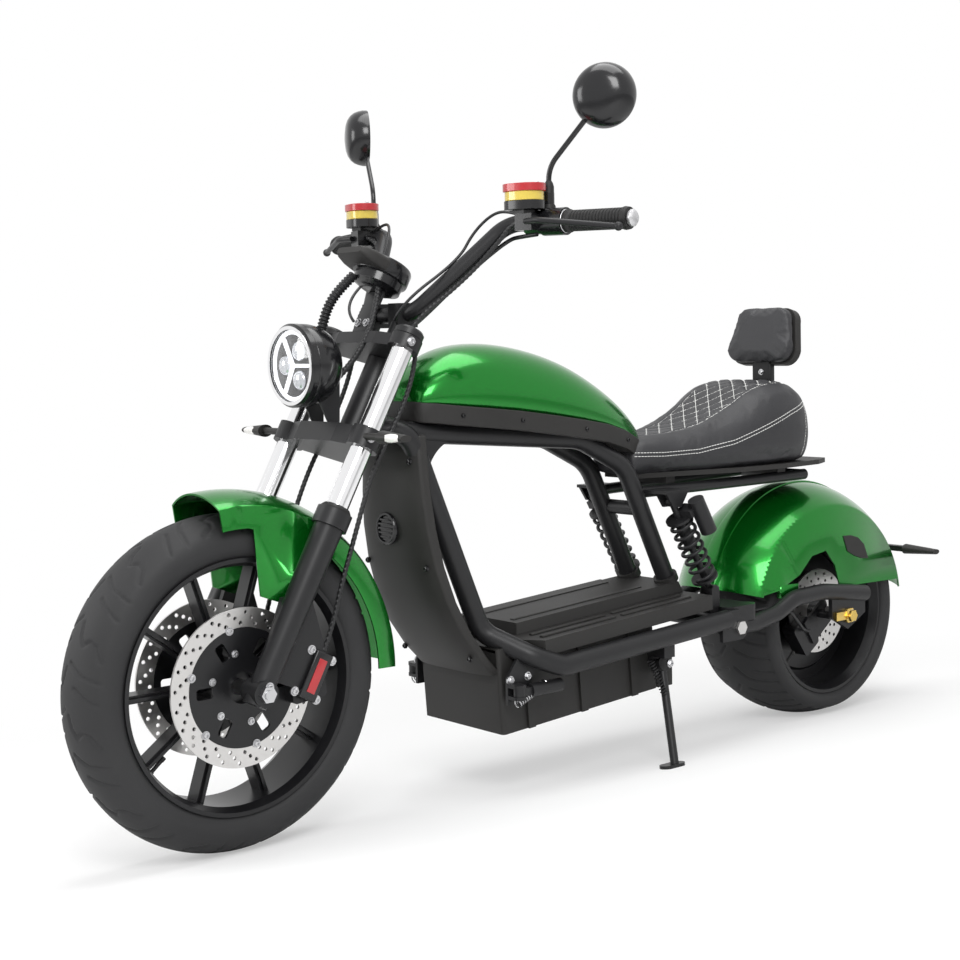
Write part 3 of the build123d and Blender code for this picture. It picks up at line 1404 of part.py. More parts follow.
# Rear caliper over the disc's lower front, on a bracket from the left arm's plate
rear_caliper_angle = -35.0
rear_caliper_middle = rear_disc_outer - caliper_half_width / 2
rear_caliper_half = 17.0
with BuildPart() as rear_caliper:
    with BuildSketch(rear_side.offset(-rear_disc_offset - lug_thickness)):
        with PolarLocations(rear_caliper_middle, 1, start_angle=rear_caliper_angle):
            RectangleRounded(caliper_half_width * 2, caliper_half_length * 1.6, lug_thickness)
    extrude(amount=rear_caliper_half, both=True)
    with BuildSketch(rear_side.offset(-rear_disc_offset)):
        Circle(rear_disc_outer + pad_gap * 2)
    extrude(amount=disc_thickness / 2 + pad_gap, both=True, mode=Mode.SUBTRACT)
    with BuildSketch(rear_side.offset(-rear_disc_offset)):
        Circle(rear_axle_radius * 3)
    extrude(amount=leg_spacing, both=True, mode=Mode.SUBTRACT)
    caliper_face = rear_disc_offset + lug_thickness + rear_caliper_half
    with BuildSketch(rear_side.offset(-caliper_face + fit_gap)):
        Polygon(
            (-axle_plate_low / 2, -axle_plate_low / 2),
            (axle_plate_low / 2, axle_plate_low),
            (rear_caliper_middle, -axle_plate_low / 2),
            (rear_caliper_middle - axle_plate_low, -rear_caliper_middle + axle_plate_low / 2),
            align=None,
        )
        Circle(axle_spacer_radius + fit_gap, mode=Mode.SUBTRACT)
    extrude(amount=-lug_plate)
    with BuildSketch(rear_side.offset(-caliper_face)):
        with Locations((axle_plate_low, 0)):
            Circle(lug_thickness)
    extrude(amount=-(arm_y - axle_plate_half - caliper_face))

# Foot peg brackets on the down tubes' feet, with a fork for each folding peg
peg_hinge = Vector(peg_hinge_x, peg_hinge_y, peg_hinge_z)
hinge_half = peg_fork_gap / 2 + fit_gap
with BuildPart() as peg_brackets:
    with BuildSketch(Plane.XZ.offset(-peg_hinge_y + peg_radius * 2)):
        Polygon(
            (peg_hinge_x + peg_radius, peg_hinge_z - peg_radius * 2),
            (peg_hinge_x + peg_radius, peg_hinge_z + peg_radius * 2),
            (peg_hinge_x - peg_radius, deck_front_z + frame_tube_radius),
            (peg_hinge_x - peg_radius * 5, deck_front_z + peg_radius / 2),
            (peg_hinge_x - peg_radius * 2, peg_hinge_z - peg_radius * 2),
            align=None,
        )
    extrude(amount=-lug_plate)
    for low in (peg_hinge_z + hinge_half, peg_hinge_z - hinge_half - peg_plate):
        with BuildSketch(Plane.XY.offset(low)):
            with Locations((peg_hinge_x, peg_hinge_y)):
                Circle(peg_radius)
            with Locations((peg_hinge_x, peg_hinge_y - peg_radius)):
                Rectangle(peg_radius * 2, peg_radius * 2)
            with Locations((peg_hinge_x, peg_hinge_y)):
                Circle(peg_pin_radius + fit_gap, mode=Mode.SUBTRACT)
        extrude(amount=peg_plate)
    add(down_tubes.part, mode=Mode.SUBTRACT)
    add(battery_box.part, mode=Mode.SUBTRACT)
    mirror(about=Plane.XZ)

with BuildPart() as left_peg:
    with BuildSketch(Plane.XY.offset(peg_hinge_z - hinge_half - peg_plate)):
        with Locations((peg_hinge_x, peg_hinge_y)):
            Circle(peg_pin_radius)
    extrude(amount=(hinge_half + peg_plate) * 2)
    with BuildSketch(Plane.XY.offset(peg_hinge_z)):
        with Locations((peg_hinge_x, peg_hinge_y)):
            Circle(peg_radius - bearing_gap)
    extrude(amount=peg_fork_gap / 2, both=True)
    with BuildSketch(Plane.YZ.offset(peg_hinge_x)):
        with Locations((peg_hinge_y, peg_hinge_z)):
            Rectangle(peg_fork_gap, peg_fork_gap)
    extrude(amount=-peg_radius * 2)
    with BuildSketch(Plane.YZ.offset(peg_hinge_x - peg_radius * 2)):
        with Locations((peg_hinge_y, peg_hinge_z)):
            Circle(peg_radius)
    extrude(amount=-(peg_length - peg_radius * 2))

with BuildPart() as right_peg:
    add(left_peg.part.mirror(Plane.XZ))

# Side stand: bracket on the left deck rail, and the leg with its foot plate
lean = radians(lean_angle)
stand_pivot = Vector(stand_pivot_x, stand_pivot_y, stand_pivot_z)
stand_foot = Vector(stand_foot_x, stand_foot_y, stand_foot_y * sin(lean) / cos(lean))
stand_leg = stand_foot - stand_pivot
stand_axis = Vector(0, -stand_leg.Z, stand_leg.Y).normalized()
stand_plane = Plane(stand_pivot, x_dir=(1, 0, 0), z_dir=stand_axis)
stand_plate = 8.0
stand_plate_up = 24.0
stand_boss_radius = 14.0
plate_inset = stand_leg_radius + fit_gap + stand_plate / 2
with BuildPart() as stand_bracket:
    with BuildSketch(stand_plane.offset(-plate_inset)):
        Circle(stand_boss_radius)
        with Locations((0, -stand_plate_up / 2)):
            Rectangle(stand_boss_radius * 2, stand_plate_up)
        Circle(pivot_bolt_radius / 2 + fit_gap, mode=Mode.SUBTRACT)
    extrude(amount=stand_plate / 2, both=True)
    with BuildSketch(Plane.XY.offset(stand_pivot_z + stand_plate_up * 0.7)):
        with Locations((stand_pivot_x, (box_half_width + deck_rail_y) / 2)):
            Rectangle(stand_boss_radius * 2, deck_rail_y - box_half_width - fit_gap * 2)
    extrude(amount=frame_tube_radius * 1.6)
    add(deck_rails.part, mode=Mode.SUBTRACT)
    add(battery_box.part, mode=Mode.SUBTRACT)

with BuildPart() as side_stand:
    with BuildSketch(stand_plane):
        Circle(stand_boss_radius)
    extrude(amount=stand_leg_radius, both=True)
    with BuildSketch(stand_plane):
        Circle(pivot_bolt_radius / 2)
    extrude(amount=-(plate_inset + stand_plate / 2))
    add(rod(stand_pivot, stand_foot, stand_leg_radius))
    ground_plane = Plane(stand_foot, x_dir=(1, 0, 0), z_dir=(0, -sin(lean), cos(lean)))
    with BuildSketch(ground_plane):
        with Locations((stand_boss_radius / 2, 0)):
            SlotOverall(stand_boss_radius * 4, stand_boss_radius * 2)
    extrude(amount=stand_pad_thickness)
    with BuildSketch(ground_plane):
        Rectangle(deck_length, deck_length)
    extrude(amount=-stand_plate_up, mode=Mode.SUBTRACT)

# Everything leans over together onto the tyres and the stand, and moves to the middle
rearmost_x = tail_bar_x - signal_radius * 1.4
place_x = (wheelbase + front_tyre_radius + rearmost_x) / 2
stand_place = Pos(-place_x, -place_y, 0) * Rot(X=-lean_angle)
pieces = {
    "front_tyre": front_tyre,
    "front_rim": front_rim,
    "front_discs": front_discs,
    "front_disc_carriers": front_disc_carriers,
    "front_axle": front_axle,
    "fork_lowers": fork_lowers,
    "stanchions": stanchions,
    "fork_clamps": fork_clamps,
    "front_calipers": front_calipers,
    "front_fender": front_fender,
    "front_indicators": front_indicators,
    "headlight": headlight,
    "headlight_ring": headlight_ring,
    "headlight_lens": headlight_lens,
    "handlebar": handlebar,
    "grips": grips,
    "controls": controls,
    "levers": levers,
    "mirrors": mirrors,
    "dash": dash,
    "head_tube": head_tube,
    "top_rails": top_rails,
    "rear_uprights": rear_uprights,
    "down_tubes": down_tubes,
    "deck_rails": deck_rails,
    "frame_crosses": frame_crosses,
    "frame_gussets": frame_gussets,
    "seat_rails": seat_rails,
    "pivot_plates": pivot_plates,
    "pivot_bolt": pivot_bolt,
    "tank_cover": tank_cover,
    "tank_trim": tank_trim,
    "leg_shield": leg_shield,
    "horn": horn,
    "battery_box": battery_box,
    "battery": battery,
    "controller_box": controller_box,
    "deck_board": deck_board,
    "deck_cover": deck_cover,
    "seat_base": seat_base,
    "seat_pad": seat_pad,
    "backrest_strut": backrest_strut,
    "backrest_pad": backrest_pad,
    "swingarm": swingarm,
    "shocks": shocks,
    "shock_springs": shock_springs,
    "rear_axle": rear_axle,
    "rear_tyre": rear_tyre,
    "rear_rim": rear_rim,
    "rear_disc": rear_disc,
    "rear_caliper": rear_caliper,
    "rear_fender": rear_fender,
    "tail_bracket": tail_bracket,
    "tail_light": tail_light,
    "rear_indicators": rear_indicators,
    "peg_brackets": peg_brackets,
    "left_peg": left_peg,
    "right_peg": right_peg,
    "stand_bracket": stand_bracket,
    "side_stand": side_stand,
}
os.makedirs("parts", exist_ok=True)
for name, piece in pieces.items():
    placed = stand_place * piece.part
    placed.label = name
    export_step(placed, f"parts/{name}.step")
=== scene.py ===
"""Electric chopper scooter on its side stand, dressed for a studio picture.

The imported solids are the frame. Each class below dresses one sub-assembly: it gives the
solids their finishes, and adds the parts that only the picture needs.
"""

import json
import logging
import math
from dataclasses import dataclass, field
from enum import Enum

import bpy
import numpy as np
from mathutils import Matrix, Vector
from mathutils.bvhtree import BVHTree


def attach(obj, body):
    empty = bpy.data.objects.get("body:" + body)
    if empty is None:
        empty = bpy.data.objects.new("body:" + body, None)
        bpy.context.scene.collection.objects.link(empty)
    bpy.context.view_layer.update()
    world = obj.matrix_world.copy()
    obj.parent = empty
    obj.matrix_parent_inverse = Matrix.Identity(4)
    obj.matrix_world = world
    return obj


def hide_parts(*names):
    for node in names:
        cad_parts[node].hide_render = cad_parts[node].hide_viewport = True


LOG = logging.getLogger("scooter")

Colour = tuple[float, float, float]


# Where things stand in the upright scooter, in millimetres

MM = 0.001


@dataclass(frozen=True)
class Stance:
    """Places on the upright scooter in millimetres, and how it leans on its stand.

    X runs forward from the rear axle, Y to the scooter's left and Z up from the ground.
    """

    wheelbase: float = 1430.0
    lean: float = math.radians(6.0)
    rake: float = math.radians(29.3)
    slope: float = math.radians(4.0)
    shift_x: float = 715.05
    shift_y: float = 104.7
    front_axle_z: float = 277.95
    rear_axle_z: float = 227.1
    deck_x: float = 900.0
    deck_z: float = 243.0

    def tilt(self) -> Matrix:
        """The turn onto the side stand."""
        return Matrix.Rotation(-self.lean, 4, "X")

    def matrix(self) -> Matrix:
        """The move from the upright scooter in millimetres to the leaning one in metres."""
        return Matrix.Scale(MM, 4) @ Matrix.Translation((-self.shift_x, -self.shift_y, 0.0)) @ self.tilt()

    def front_axle(self) -> Vector:
        """The middle of the front axle."""
        return Vector((self.wheelbase, 0.0, self.front_axle_z))

    def rear_axle(self) -> Vector:
        """The middle of the rear axle."""
        return Vector((0.0, 0.0, self.rear_axle_z))

    def fork_way(self) -> Vector:
        """The direction up along the fork's legs."""
        return Vector((-math.sin(self.rake), 0.0, math.cos(self.rake)))

    def fork(self, ahead: float, left: float, up: float) -> Vector:
        """A point given along the fork, from the front axle.

        Args:
            ahead: distance ahead of the legs.
            left: distance to the left.
            up: distance up along the legs.

        Returns:
            The point in the upright frame.
        """
        side = Vector((math.cos(self.rake), 0.0, math.sin(self.rake)))
        return self.front_axle() + side * ahead + Vector((0.0, left, 0.0)) + self.fork_way() * up

    def deck(self, ahead: float, left: float, up: float) -> Vector:
        """A point given on the sloping deck, from its front end.

        Args:
            ahead: distance along the deck, forward.
            left: distance to the left.
            up: height over the deck's rails.

        Returns:
            The point in the upright frame.
        """
        along = Vector((math.cos(self.slope), 0.0, -math.sin(self.slope)))
        above = Vector((math.sin(self.slope), 0.0, math.cos(self.slope)))
        return Vector((self.deck_x, left, self.deck_z)) + along * ahead + above * up

    def frame(self, origin: Vector, way: Vector, up: Vector = Vector((0.0, 0.0, 1.0))) -> Matrix:
        """A local frame in the leaning scooter.

        Args:
            origin: its origin in the upright frame.
            way: the direction of its Z axis.
            up: the direction that its Y axis follows as far as it can.

        Returns:
            The move from local millimetres to the leaning scooter in metres.
        """
        along = Vector(way).normalized()
        if abs(along.dot(up)) > 0.99:
            up = Vector((1.0, 0.0, 0.0))
        above = (up - along * up.dot(along)).normalized()
        turn = Matrix((above.cross(along), above, along)).transposed().to_4x4()
        return self.matrix() @ Matrix.Translation(origin) @ turn


STANCE = Stance()
LEFT_AND_RIGHT = (1.0, -1.0)


# Shader effects that several finishes share


class Effect(Enum):
    """The shared effects that are built as shader node groups."""

    GRAIN = "grain"
    FLAKE = "flake"
    BRUSH = "brush"


class EffectShelf:
    """Builds each shared effect once and hands it to the materials."""

    def __init__(self) -> None:
        self.made: dict[Effect, bpy.types.NodeTree] = {}

    def get(self, effect: Effect) -> bpy.types.NodeTree:
        """Give the node group of an effect, building it at its first use.

        Args:
            effect: which effect.

        Returns:
            The shader node group.
        """
        if effect not in self.made:
            builders = {Effect.GRAIN: self._grain, Effect.FLAKE: self._flake, Effect.BRUSH: self._brush}
            self.made[effect] = builders[effect]()
        return self.made[effect]

    @staticmethod
    def _tree(name: str, inputs: dict[str, float], outputs: list[str]) -> bpy.types.NodeTree:
        """Start a node group with number inputs and outputs.

        Args:
            name: the group's name.
            inputs: each input's name and default.
            outputs: the names of its outputs.

        Returns:
            The empty group with its two end nodes.
        """
        tree = bpy.data.node_groups.new(name, "ShaderNodeTree")
        for label, value in inputs.items():
            socket = tree.interface.new_socket(label, in_out="INPUT", socket_type="NodeSocketFloat")
            socket.default_value = value
        for label in outputs:
            tree.interface.new_socket(label, in_out="OUTPUT", socket_type="NodeSocketFloat")
        tree.nodes.new("NodeGroupInput")
        tree.nodes.new("NodeGroupOutput")
        return tree

    def _grain(self) -> bpy.types.NodeTree:
        """Build the pebbled grain of plastic, leather and powder coat."""
        tree = self._tree("grain", {"Scale": 900.0, "Cloud Scale": 9.0}, ["Height", "Cloud"])
        ends = tree.nodes["Group Input"], tree.nodes["Group Output"]
        place = tree.nodes.new("ShaderNodeTexCoord")
        pebble = tree.nodes.new("ShaderNodeTexVoronoi")
        pebble.feature = "SMOOTH_F1"
        cloud = tree.nodes.new("ShaderNodeTexNoise")
        cloud.inputs["Detail"].default_value = 5.0
        tree.links.new(place.outputs["Object"], pebble.inputs["Vector"])
        tree.links.new(place.outputs["Object"], cloud.inputs["Vector"])
        tree.links.new(ends[0].outputs["Scale"], pebble.inputs["Scale"])
        tree.links.new(ends[0].outputs["Cloud Scale"], cloud.inputs["Scale"])
        tree.links.new(pebble.outputs["Distance"], ends[1].inputs["Height"])
        tree.links.new(cloud.outputs["Fac"], ends[1].inputs["Cloud"])
        return tree

    def _flake(self) -> bpy.types.NodeTree:
        """Build the fine glitter of metallic paint."""
        tree = self._tree("flake", {"Scale": 2600.0, "Cloud Scale": 6.0}, ["Glitter", "Cloud"])
        ends = tree.nodes["Group Input"], tree.nodes["Group Output"]
        place = tree.nodes.new("ShaderNodeTexCoord")
        speck = tree.nodes.new("ShaderNodeTexVoronoi")
        spread = tree.nodes.new("ShaderNodeSeparateColor")
        cloud = tree.nodes.new("ShaderNodeTexNoise")
        tree.links.new(place.outputs["Object"], speck.inputs["Vector"])
        tree.links.new(place.outputs["Object"], cloud.inputs["Vector"])
        tree.links.new(ends[0].outputs["Scale"], speck.inputs["Scale"])
        tree.links.new(ends[0].outputs["Cloud Scale"], cloud.inputs["Scale"])
        tree.links.new(speck.outputs["Color"], spread.inputs["Color"])
        tree.links.new(spread.outputs["Red"], ends[1].inputs["Glitter"])
        tree.links.new(cloud.outputs["Fac"], ends[1].inputs["Cloud"])
        return tree

    def _brush(self) -> bpy.types.NodeTree:
        """Build the long fine lines of turned or brushed metal."""
        tree = self._tree("brush", {"Scale": 60.0, "Stretch": 14.0}, ["Line", "Cloud"])
        ends = tree.nodes["Group Input"], tree.nodes["Group Output"]
        place = tree.nodes.new("ShaderNodeTexCoord")
        squeeze = tree.nodes.new("ShaderNodeCombineXYZ")
        stretch = tree.nodes.new("ShaderNodeVectorMath")
        stretch.operation = "MULTIPLY"
        line = tree.nodes.new("ShaderNodeTexNoise")
        line.inputs["Detail"].default_value = 3.0
        cloud = tree.nodes.new("ShaderNodeTexNoise")
        cloud.inputs["Scale"].default_value = 12.0
        squeeze.inputs["X"].default_value = 1.0
        squeeze.inputs["Z"].default_value = 1.0
        tree.links.new(ends[0].outputs["Stretch"], squeeze.inputs["Y"])
        tree.links.new(place.outputs["Object"], stretch.inputs[0])
        tree.links.new(squeeze.outputs["Vector"], stretch.inputs[1])
        tree.links.new(stretch.outputs["Vector"], line.inputs["Vector"])
        tree.links.new(place.outputs["Object"], cloud.inputs["Vector"])
        tree.links.new(ends[0].outputs["Scale"], line.inputs["Scale"])
        tree.links.new(line.outputs["Fac"], ends[1].inputs["Line"])
        tree.links.new(cloud.outputs["Fac"], ends[1].inputs["Cloud"])
        return tree


EFFECTS = EffectShelf()


@dataclass(frozen=True)
class Finish:
    """One surface finish: its colours, how it shines and its fine relief."""

    name: str
    colour: Colour
    second: Colour
    rough: tuple[float, float] = (0.4, 0.5)
    metallic: float = 0.0
    coat: float = 0.0
    effect: Effect = Effect.GRAIN
    scale: float = 900.0
    relief: float = 0.0002
    strength: float = 0.25
    transmission: float = 0.0
    glow: float = 0.0
    specular: float = 0.5

    def material(self) -> bpy.types.Material:
        """Give this finish's material, building it at its first use.

        Returns:
            The Blender material.
        """
        found = bpy.data.materials.get(self.name)
        if found:
            return found
        made = bpy.data.materials.new(self.name)
        made.use_nodes = True
        tree = made.node_tree
        shader = tree.nodes["Principled BSDF"]
        group = tree.nodes.new("ShaderNodeGroup")
        group.node_tree = EFFECTS.get(self.effect)
        group.inputs["Scale"].default_value = self.scale
        first, second = group.outputs[0], group.outputs[1]
        ramp = tree.nodes.new("ShaderNodeMix")
        ramp.data_type = "RGBA"
        ramp.inputs["A"].default_value = (*self.colour, 1.0)
        ramp.inputs["B"].default_value = (*self.second, 1.0)
        shine = tree.nodes.new("ShaderNodeMapRange")
        shine.inputs["To Min"].default_value = self.rough[0]
        shine.inputs["To Max"].default_value = self.rough[1]
        bump = tree.nodes.new("ShaderNodeBump")
        bump.inputs["Distance"].default_value = self.relief
        bump.inputs["Strength"].default_value = self.strength
        speck = first if self.effect is Effect.FLAKE else second
        tree.links.new(speck, ramp.inputs["Factor"])
        tree.links.new(ramp.outputs["Result"], shader.inputs["Base Color"])
        tree.links.new(second, shine.inputs["Value"])
        tree.links.new(shine.outputs["Result"], shader.inputs["Roughness"])
        tree.links.new(first, bump.inputs["Height"])
        tree.links.new(bump.outputs["Normal"], shader.inputs["Normal"])
        shader.inputs["Metallic"].default_value = self.metallic
        shader.inputs["Specular IOR Level"].default_value = self.specular
        shader.inputs["Coat Weight"].default_value = self.coat
        shader.inputs["Coat Roughness"].default_value = 0.03
        shader.inputs["Transmission Weight"].default_value = self.transmission
        if self.glow:
            shader.inputs["Emission Color"].default_value = (*self.colour, 1.0)
            shader.inputs["Emission Strength"].default_value = self.glow
        return made


POWDER_BLACK = Finish(
    "powder_black", (
        0.011, 0.011, 0.012
    ), (0.017, 0.017, 0.018), (0.34, 0.44), scale=700.0, relief=0.0001, specular=0.3
)
GLOSS_BLACK = Finish(
    "gloss_black", (
        0.006, 0.006, 0.007
    ), (0.01, 0.01, 0.011), (0.14, 0.22), scale=300.0, relief=0.00005, specular=0.45
)
WHEEL_BLACK = Finish(
    "wheel_black", (
        0.006, 0.006, 0.007
    ), (0.01, 0.01, 0.011), (0.26, 0.36), scale=500.0, relief=0.0001, specular=0.35
)
MOULDED = Finish(
    "moulded_plastic", (0.016, 0.0155, 0.015), (0.026, 0.025, 0.024), (0.5, 0.6), relief=0.0003,
    strength=0.35,
    specular=0.3,
)
GREEN_PAINT = Finish(
    "green_paint", (0.0, 0.12, 0.006), (0.004, 0.24, 0.02), (0.18, 0.26), metallic=0.72, coat=0.4,
    effect=Effect.FLAKE, scale=2600.0, relief=0.00001, strength=0.1,
)
CHROME = Finish(
    "chrome", (0.66, 0.66, 0.67), (0.78, 0.78, 0.79), (0.1, 0.18), metallic=1.0, effect=Effect.BRUSH,
    relief=0.00001,
    strength=0.1,
)
DISC_STEEL = Finish(
    "disc_steel", (0.5, 0.49, 0.48), (0.66, 0.65, 0.64), (0.3, 0.42), metallic=1.0, effect=Effect.BRUSH,
    scale=120.0,
    relief=0.00002,
)
ZINC = Finish(
    "zinc", (0.42, 0.42, 0.43), (0.58, 0.58, 0.59), (0.25, 0.35), metallic=1.0, effect=Effect.BRUSH,
    scale=200.0,
    relief=0.00002,
)
GOLD = Finish(
    "gold_plate", (0.62, 0.42, 0.1), (0.75, 0.55, 0.18), (0.22, 0.34), metallic=1.0, effect=Effect.BRUSH,
    scale=200.0,
    relief=0.00002,
)
FLUID_WINDOW = Finish(
    "fluid_window", (0.55, 0.4, 0.02), (0.72, 0.56, 0.1), (0.1, 0.18), coat=0.6, scale=60.0, relief=0.00004
)
RED_LID = Finish(
    "red_lid", (0.34, 0.004, 0.008), (0.46, 0.008, 0.014), (0.24, 0.34), coat=0.5, relief=0.00004
)
SILVER = Finish(
    "cast_silver", (0.5, 0.5, 0.51), (
        0.62, 0.62, 0.63
    ), (0.35, 0.45), metallic=0.9, scale=900.0, relief=0.0001
)
TYRE_RUBBER = Finish(
    "tyre_rubber", (
        0.017, 0.017, 0.018
    ), (0.032, 0.032, 0.033), (0.58, 0.72), scale=700.0, relief=0.0003, specular=0.3
)
GRIP_RUBBER = Finish(
    "grip_rubber", (0.01, 0.01, 0.01), (
        0.018, 0.018, 0.018
    ), (0.5, 0.6), scale=1200.0, relief=0.0003, specular=0.3
)
CABLE_SKIN = Finish(
    "cable_skin", (
        0.008, 0.008, 0.009
    ), (0.014, 0.014, 0.015), (0.35, 0.5), scale=1500.0, relief=0.0001, specular=0.4
)
SEAT_LEATHER = Finish(
    "seat_leather", (0.02, 0.02, 0.022), (0.034, 0.034, 0.037), (0.42, 0.54), scale=520.0, relief=0.0005,
    strength=0.45,
    specular=0.35,
)
THREAD = Finish(
    "white_thread", (0.62, 0.62, 0.6), (0.78, 0.78, 0.76), (0.6, 0.7), scale=2000.0, relief=0.0001
)
CLEAR_LENS = Finish(
    "clear_lens", (1.0, 1.0, 1.0), (
        0.98, 0.99, 1.0
    ), (0.02, 0.05), transmission=1.0, scale=50.0, relief=0.00002
)
LED_WHITE = Finish(
    "led_white", (0.95, 0.96, 1.0), (1.0, 1.0, 1.0), (0.3, 0.4), glow=0.9, scale=80.0, relief=0.00002
)
LAMP_LENS = Finish(
    "lamp_lens", (0.6, 0.62, 0.66), (
        0.85, 0.86, 0.88
    ), (0.08, 0.14), metallic=0.6, coat=1.0, scale=40.0, relief=0.00002
)
SIGNAL_LENS = Finish(
    "signal_lens", (0.75, 0.74, 0.72), (0.9, 0.88, 0.85), (0.08, 0.16), coat=1.0, scale=120.0, relief=0.0002
)
RED_LENS = Finish(
    "red_lens", (0.35, 0.01, 0.01), (0.5, 0.02, 0.02), (0.1, 0.2), coat=1.0, scale=400.0, relief=0.0001
)
SCREEN = Finish(
    "dash_screen", (0.004, 0.005, 0.008), (0.008, 0.009, 0.014), (0.05, 0.1), scale=30.0, relief=0.00001
)
MIRROR_GLASS = Finish(
    "mirror_glass", (
        0.85, 0.86, 0.87
    ), (0.9, 0.91, 0.92), (0.01, 0.03), metallic=1.0, scale=30.0, relief=0.000005
)


# Modelling steps shared by the classes


def pick_none() -> None:
    """Leave edit mode if need be and deselect everything."""
    if bpy.context.object and bpy.context.object.mode != "OBJECT":
        bpy.ops.object.mode_set(mode="OBJECT")
    bpy.ops.object.select_all(action="DESELECT")


def pick(piece: bpy.types.Object) -> None:
    """Select one object alone and make it active."""
    pick_none()
    piece.select_set(True)
    bpy.context.view_layer.objects.active = piece


def dress(node: str, finish: Finish) -> None:
    """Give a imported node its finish.

    Args:
        node: the node's name.
        finish: the finish it gets.
    """
    owner = FRAME["nodes"][node]
    for place in owner.material_slots:
        place.material = finish.material()


def new_object(name: str, mesh: bpy.types.Mesh) -> bpy.types.Object:
    """Put a mesh into the scene as an object at the origin.

    Args:
        name: the object's name.
        mesh: its mesh.

    Returns:
        The object.
    """
    piece = bpy.data.objects.new(name, mesh)
    bpy.context.scene.collection.objects.link(piece)
    return piece


def tidy_mesh(piece: bpy.types.Object, merge: float = 0.00001, smooth: float = math.radians(35.0)) -> None:
    """Merge doubles, point the faces outwards and shade by angle.

    Args:
        piece: the object.
        merge: how near two points are when they become one, in metres.
        smooth: the sharpest angle that is shaded smooth.
    """
    pick(piece)
    bpy.ops.object.mode_set(mode="EDIT")
    bpy.ops.mesh.select_all(action="SELECT")
    bpy.ops.mesh.remove_doubles(threshold=merge)
    bpy.ops.mesh.normals_make_consistent(inside=False)
    bpy.ops.object.mode_set(mode="OBJECT")
    bpy.ops.object.shade_smooth_by_angle(angle=smooth)


def apply_modifier(piece: bpy.types.Object, kind: str, **settings: object) -> None:
    """Add a modifier with its settings and apply it.

    Args:
        piece: the object.
        kind: the modifier's type.
        settings: its settings by name.
    """
    pick(piece)
    added = piece.modifiers.new(kind.title(), kind)
    for label, value in settings.items():
        setattr(added, label, value)
    bpy.ops.object.modifier_apply(modifier=added.name)


def settle(
    piece: bpy.types.Object, body: str, slot: str, finish: Finish, *replaced: str
) -> bpy.types.Object:
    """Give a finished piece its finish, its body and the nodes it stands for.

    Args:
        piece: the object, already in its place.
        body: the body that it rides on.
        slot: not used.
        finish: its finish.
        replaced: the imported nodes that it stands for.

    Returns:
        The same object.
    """
    piece.data.name = piece.name
    piece.data.materials.clear()
    piece.data.materials.append(finish.material())
    for face in piece.data.polygons:
        face.material_index = 0
    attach(piece, body)
    if replaced:
        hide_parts(*replaced)
    pick_none()
    LOG.info("%s: %d faces", piece.name, len(piece.data.polygons))
    return piece


def join(pieces: list[bpy.types.Object], name: str) -> bpy.types.Object:
    """Join several meshes into one object.

    Args:
        pieces: the objects, which are used up.
        name: the joined object's name.

    Returns:
        The joined object.
    """
    pick_none()
    for piece in pieces:
        piece.select_set(True)
    bpy.context.view_layer.objects.active = pieces[0]
    if len(pieces) > 1:
        bpy.ops.object.join()
    pieces[0].name = name
    return pieces[0]


def copy_node(node: str, name: str) -> bpy.types.Object:
    """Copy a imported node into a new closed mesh.

    Args:
        node: the node's name.
        name: the copy's name.

    Returns:
        The copy, with its doubles merged.
    """
    source = FRAME["nodes"][node]
    mesh = source.data.copy()
    mesh.transform(source.matrix_world)
    piece = new_object(name, mesh)
    pick(piece)
    bpy.ops.object.mode_set(mode="EDIT")
    bpy.ops.mesh.select_all(action="SELECT")
    bpy.ops.mesh.remove_doubles(threshold=0.00005)
    bpy.ops.object.mode_set(mode="OBJECT")
    return piece


def cut_away(piece: bpy.types.Object, point: Vector, way: Vector) -> None:
    """Cut a piece by a plane, drop what lies ahead of it and close the cut.

    Args:
        piece: the object, in the leaning frame.
        point: a point of the plane in the upright frame.
        way: the direction in the upright frame to the side that is dropped.
    """
    pick(piece)
    bpy.ops.object.mode_set(mode="EDIT")
    bpy.ops.mesh.select_all(action="SELECT")
    bpy.ops.mesh.bisect(
        plane_co=STANCE.matrix() @ point,
        plane_no=STANCE.tilt() @ way,
        use_fill=True,
        clear_outer=True,
    )
    bpy.ops.object.mode_set(mode="OBJECT")


def lathe(
    name: str, profile: list[
        tuple[float, float]
    ], origin: Vector, way: Vector, steps: int = 48, ring: bool = False
) -> bpy.types.Object:
    """Spin a profile round an axis.

    Args:
        name: the piece's name.
        profile: points as radius and height along the axis, both in millimetres.
        origin: where the axis starts, in the upright frame.
        way: the direction of the axis.
        steps: how many steps go round.
        ring: whether the profile's last point joins its first.

    Returns:
        The closed mesh in its place.
    """
    mesh = bpy.data.meshes.new(name)
    edges = [(index, index + 1) for index in range(len(profile) - 1)]
    if ring:
        edges.append((len(profile) - 1, 0))
    mesh.from_pydata([(radius, 0.0, height) for radius, height in profile], edges, [])
    piece = new_object(name, mesh)
    pick(piece)
    bpy.ops.object.mode_set(mode="EDIT")
    bpy.ops.mesh.select_all(action="SELECT")
    bpy.ops.mesh.spin(steps=steps, angle=math.tau, center=(0.0, 0.0, 0.0), axis=(0.0, 0.0, 1.0))
    bpy.ops.object.mode_set(mode="OBJECT")
    piece.data.transform(STANCE.frame(origin, way))
    tidy_mesh(piece)
    return piece


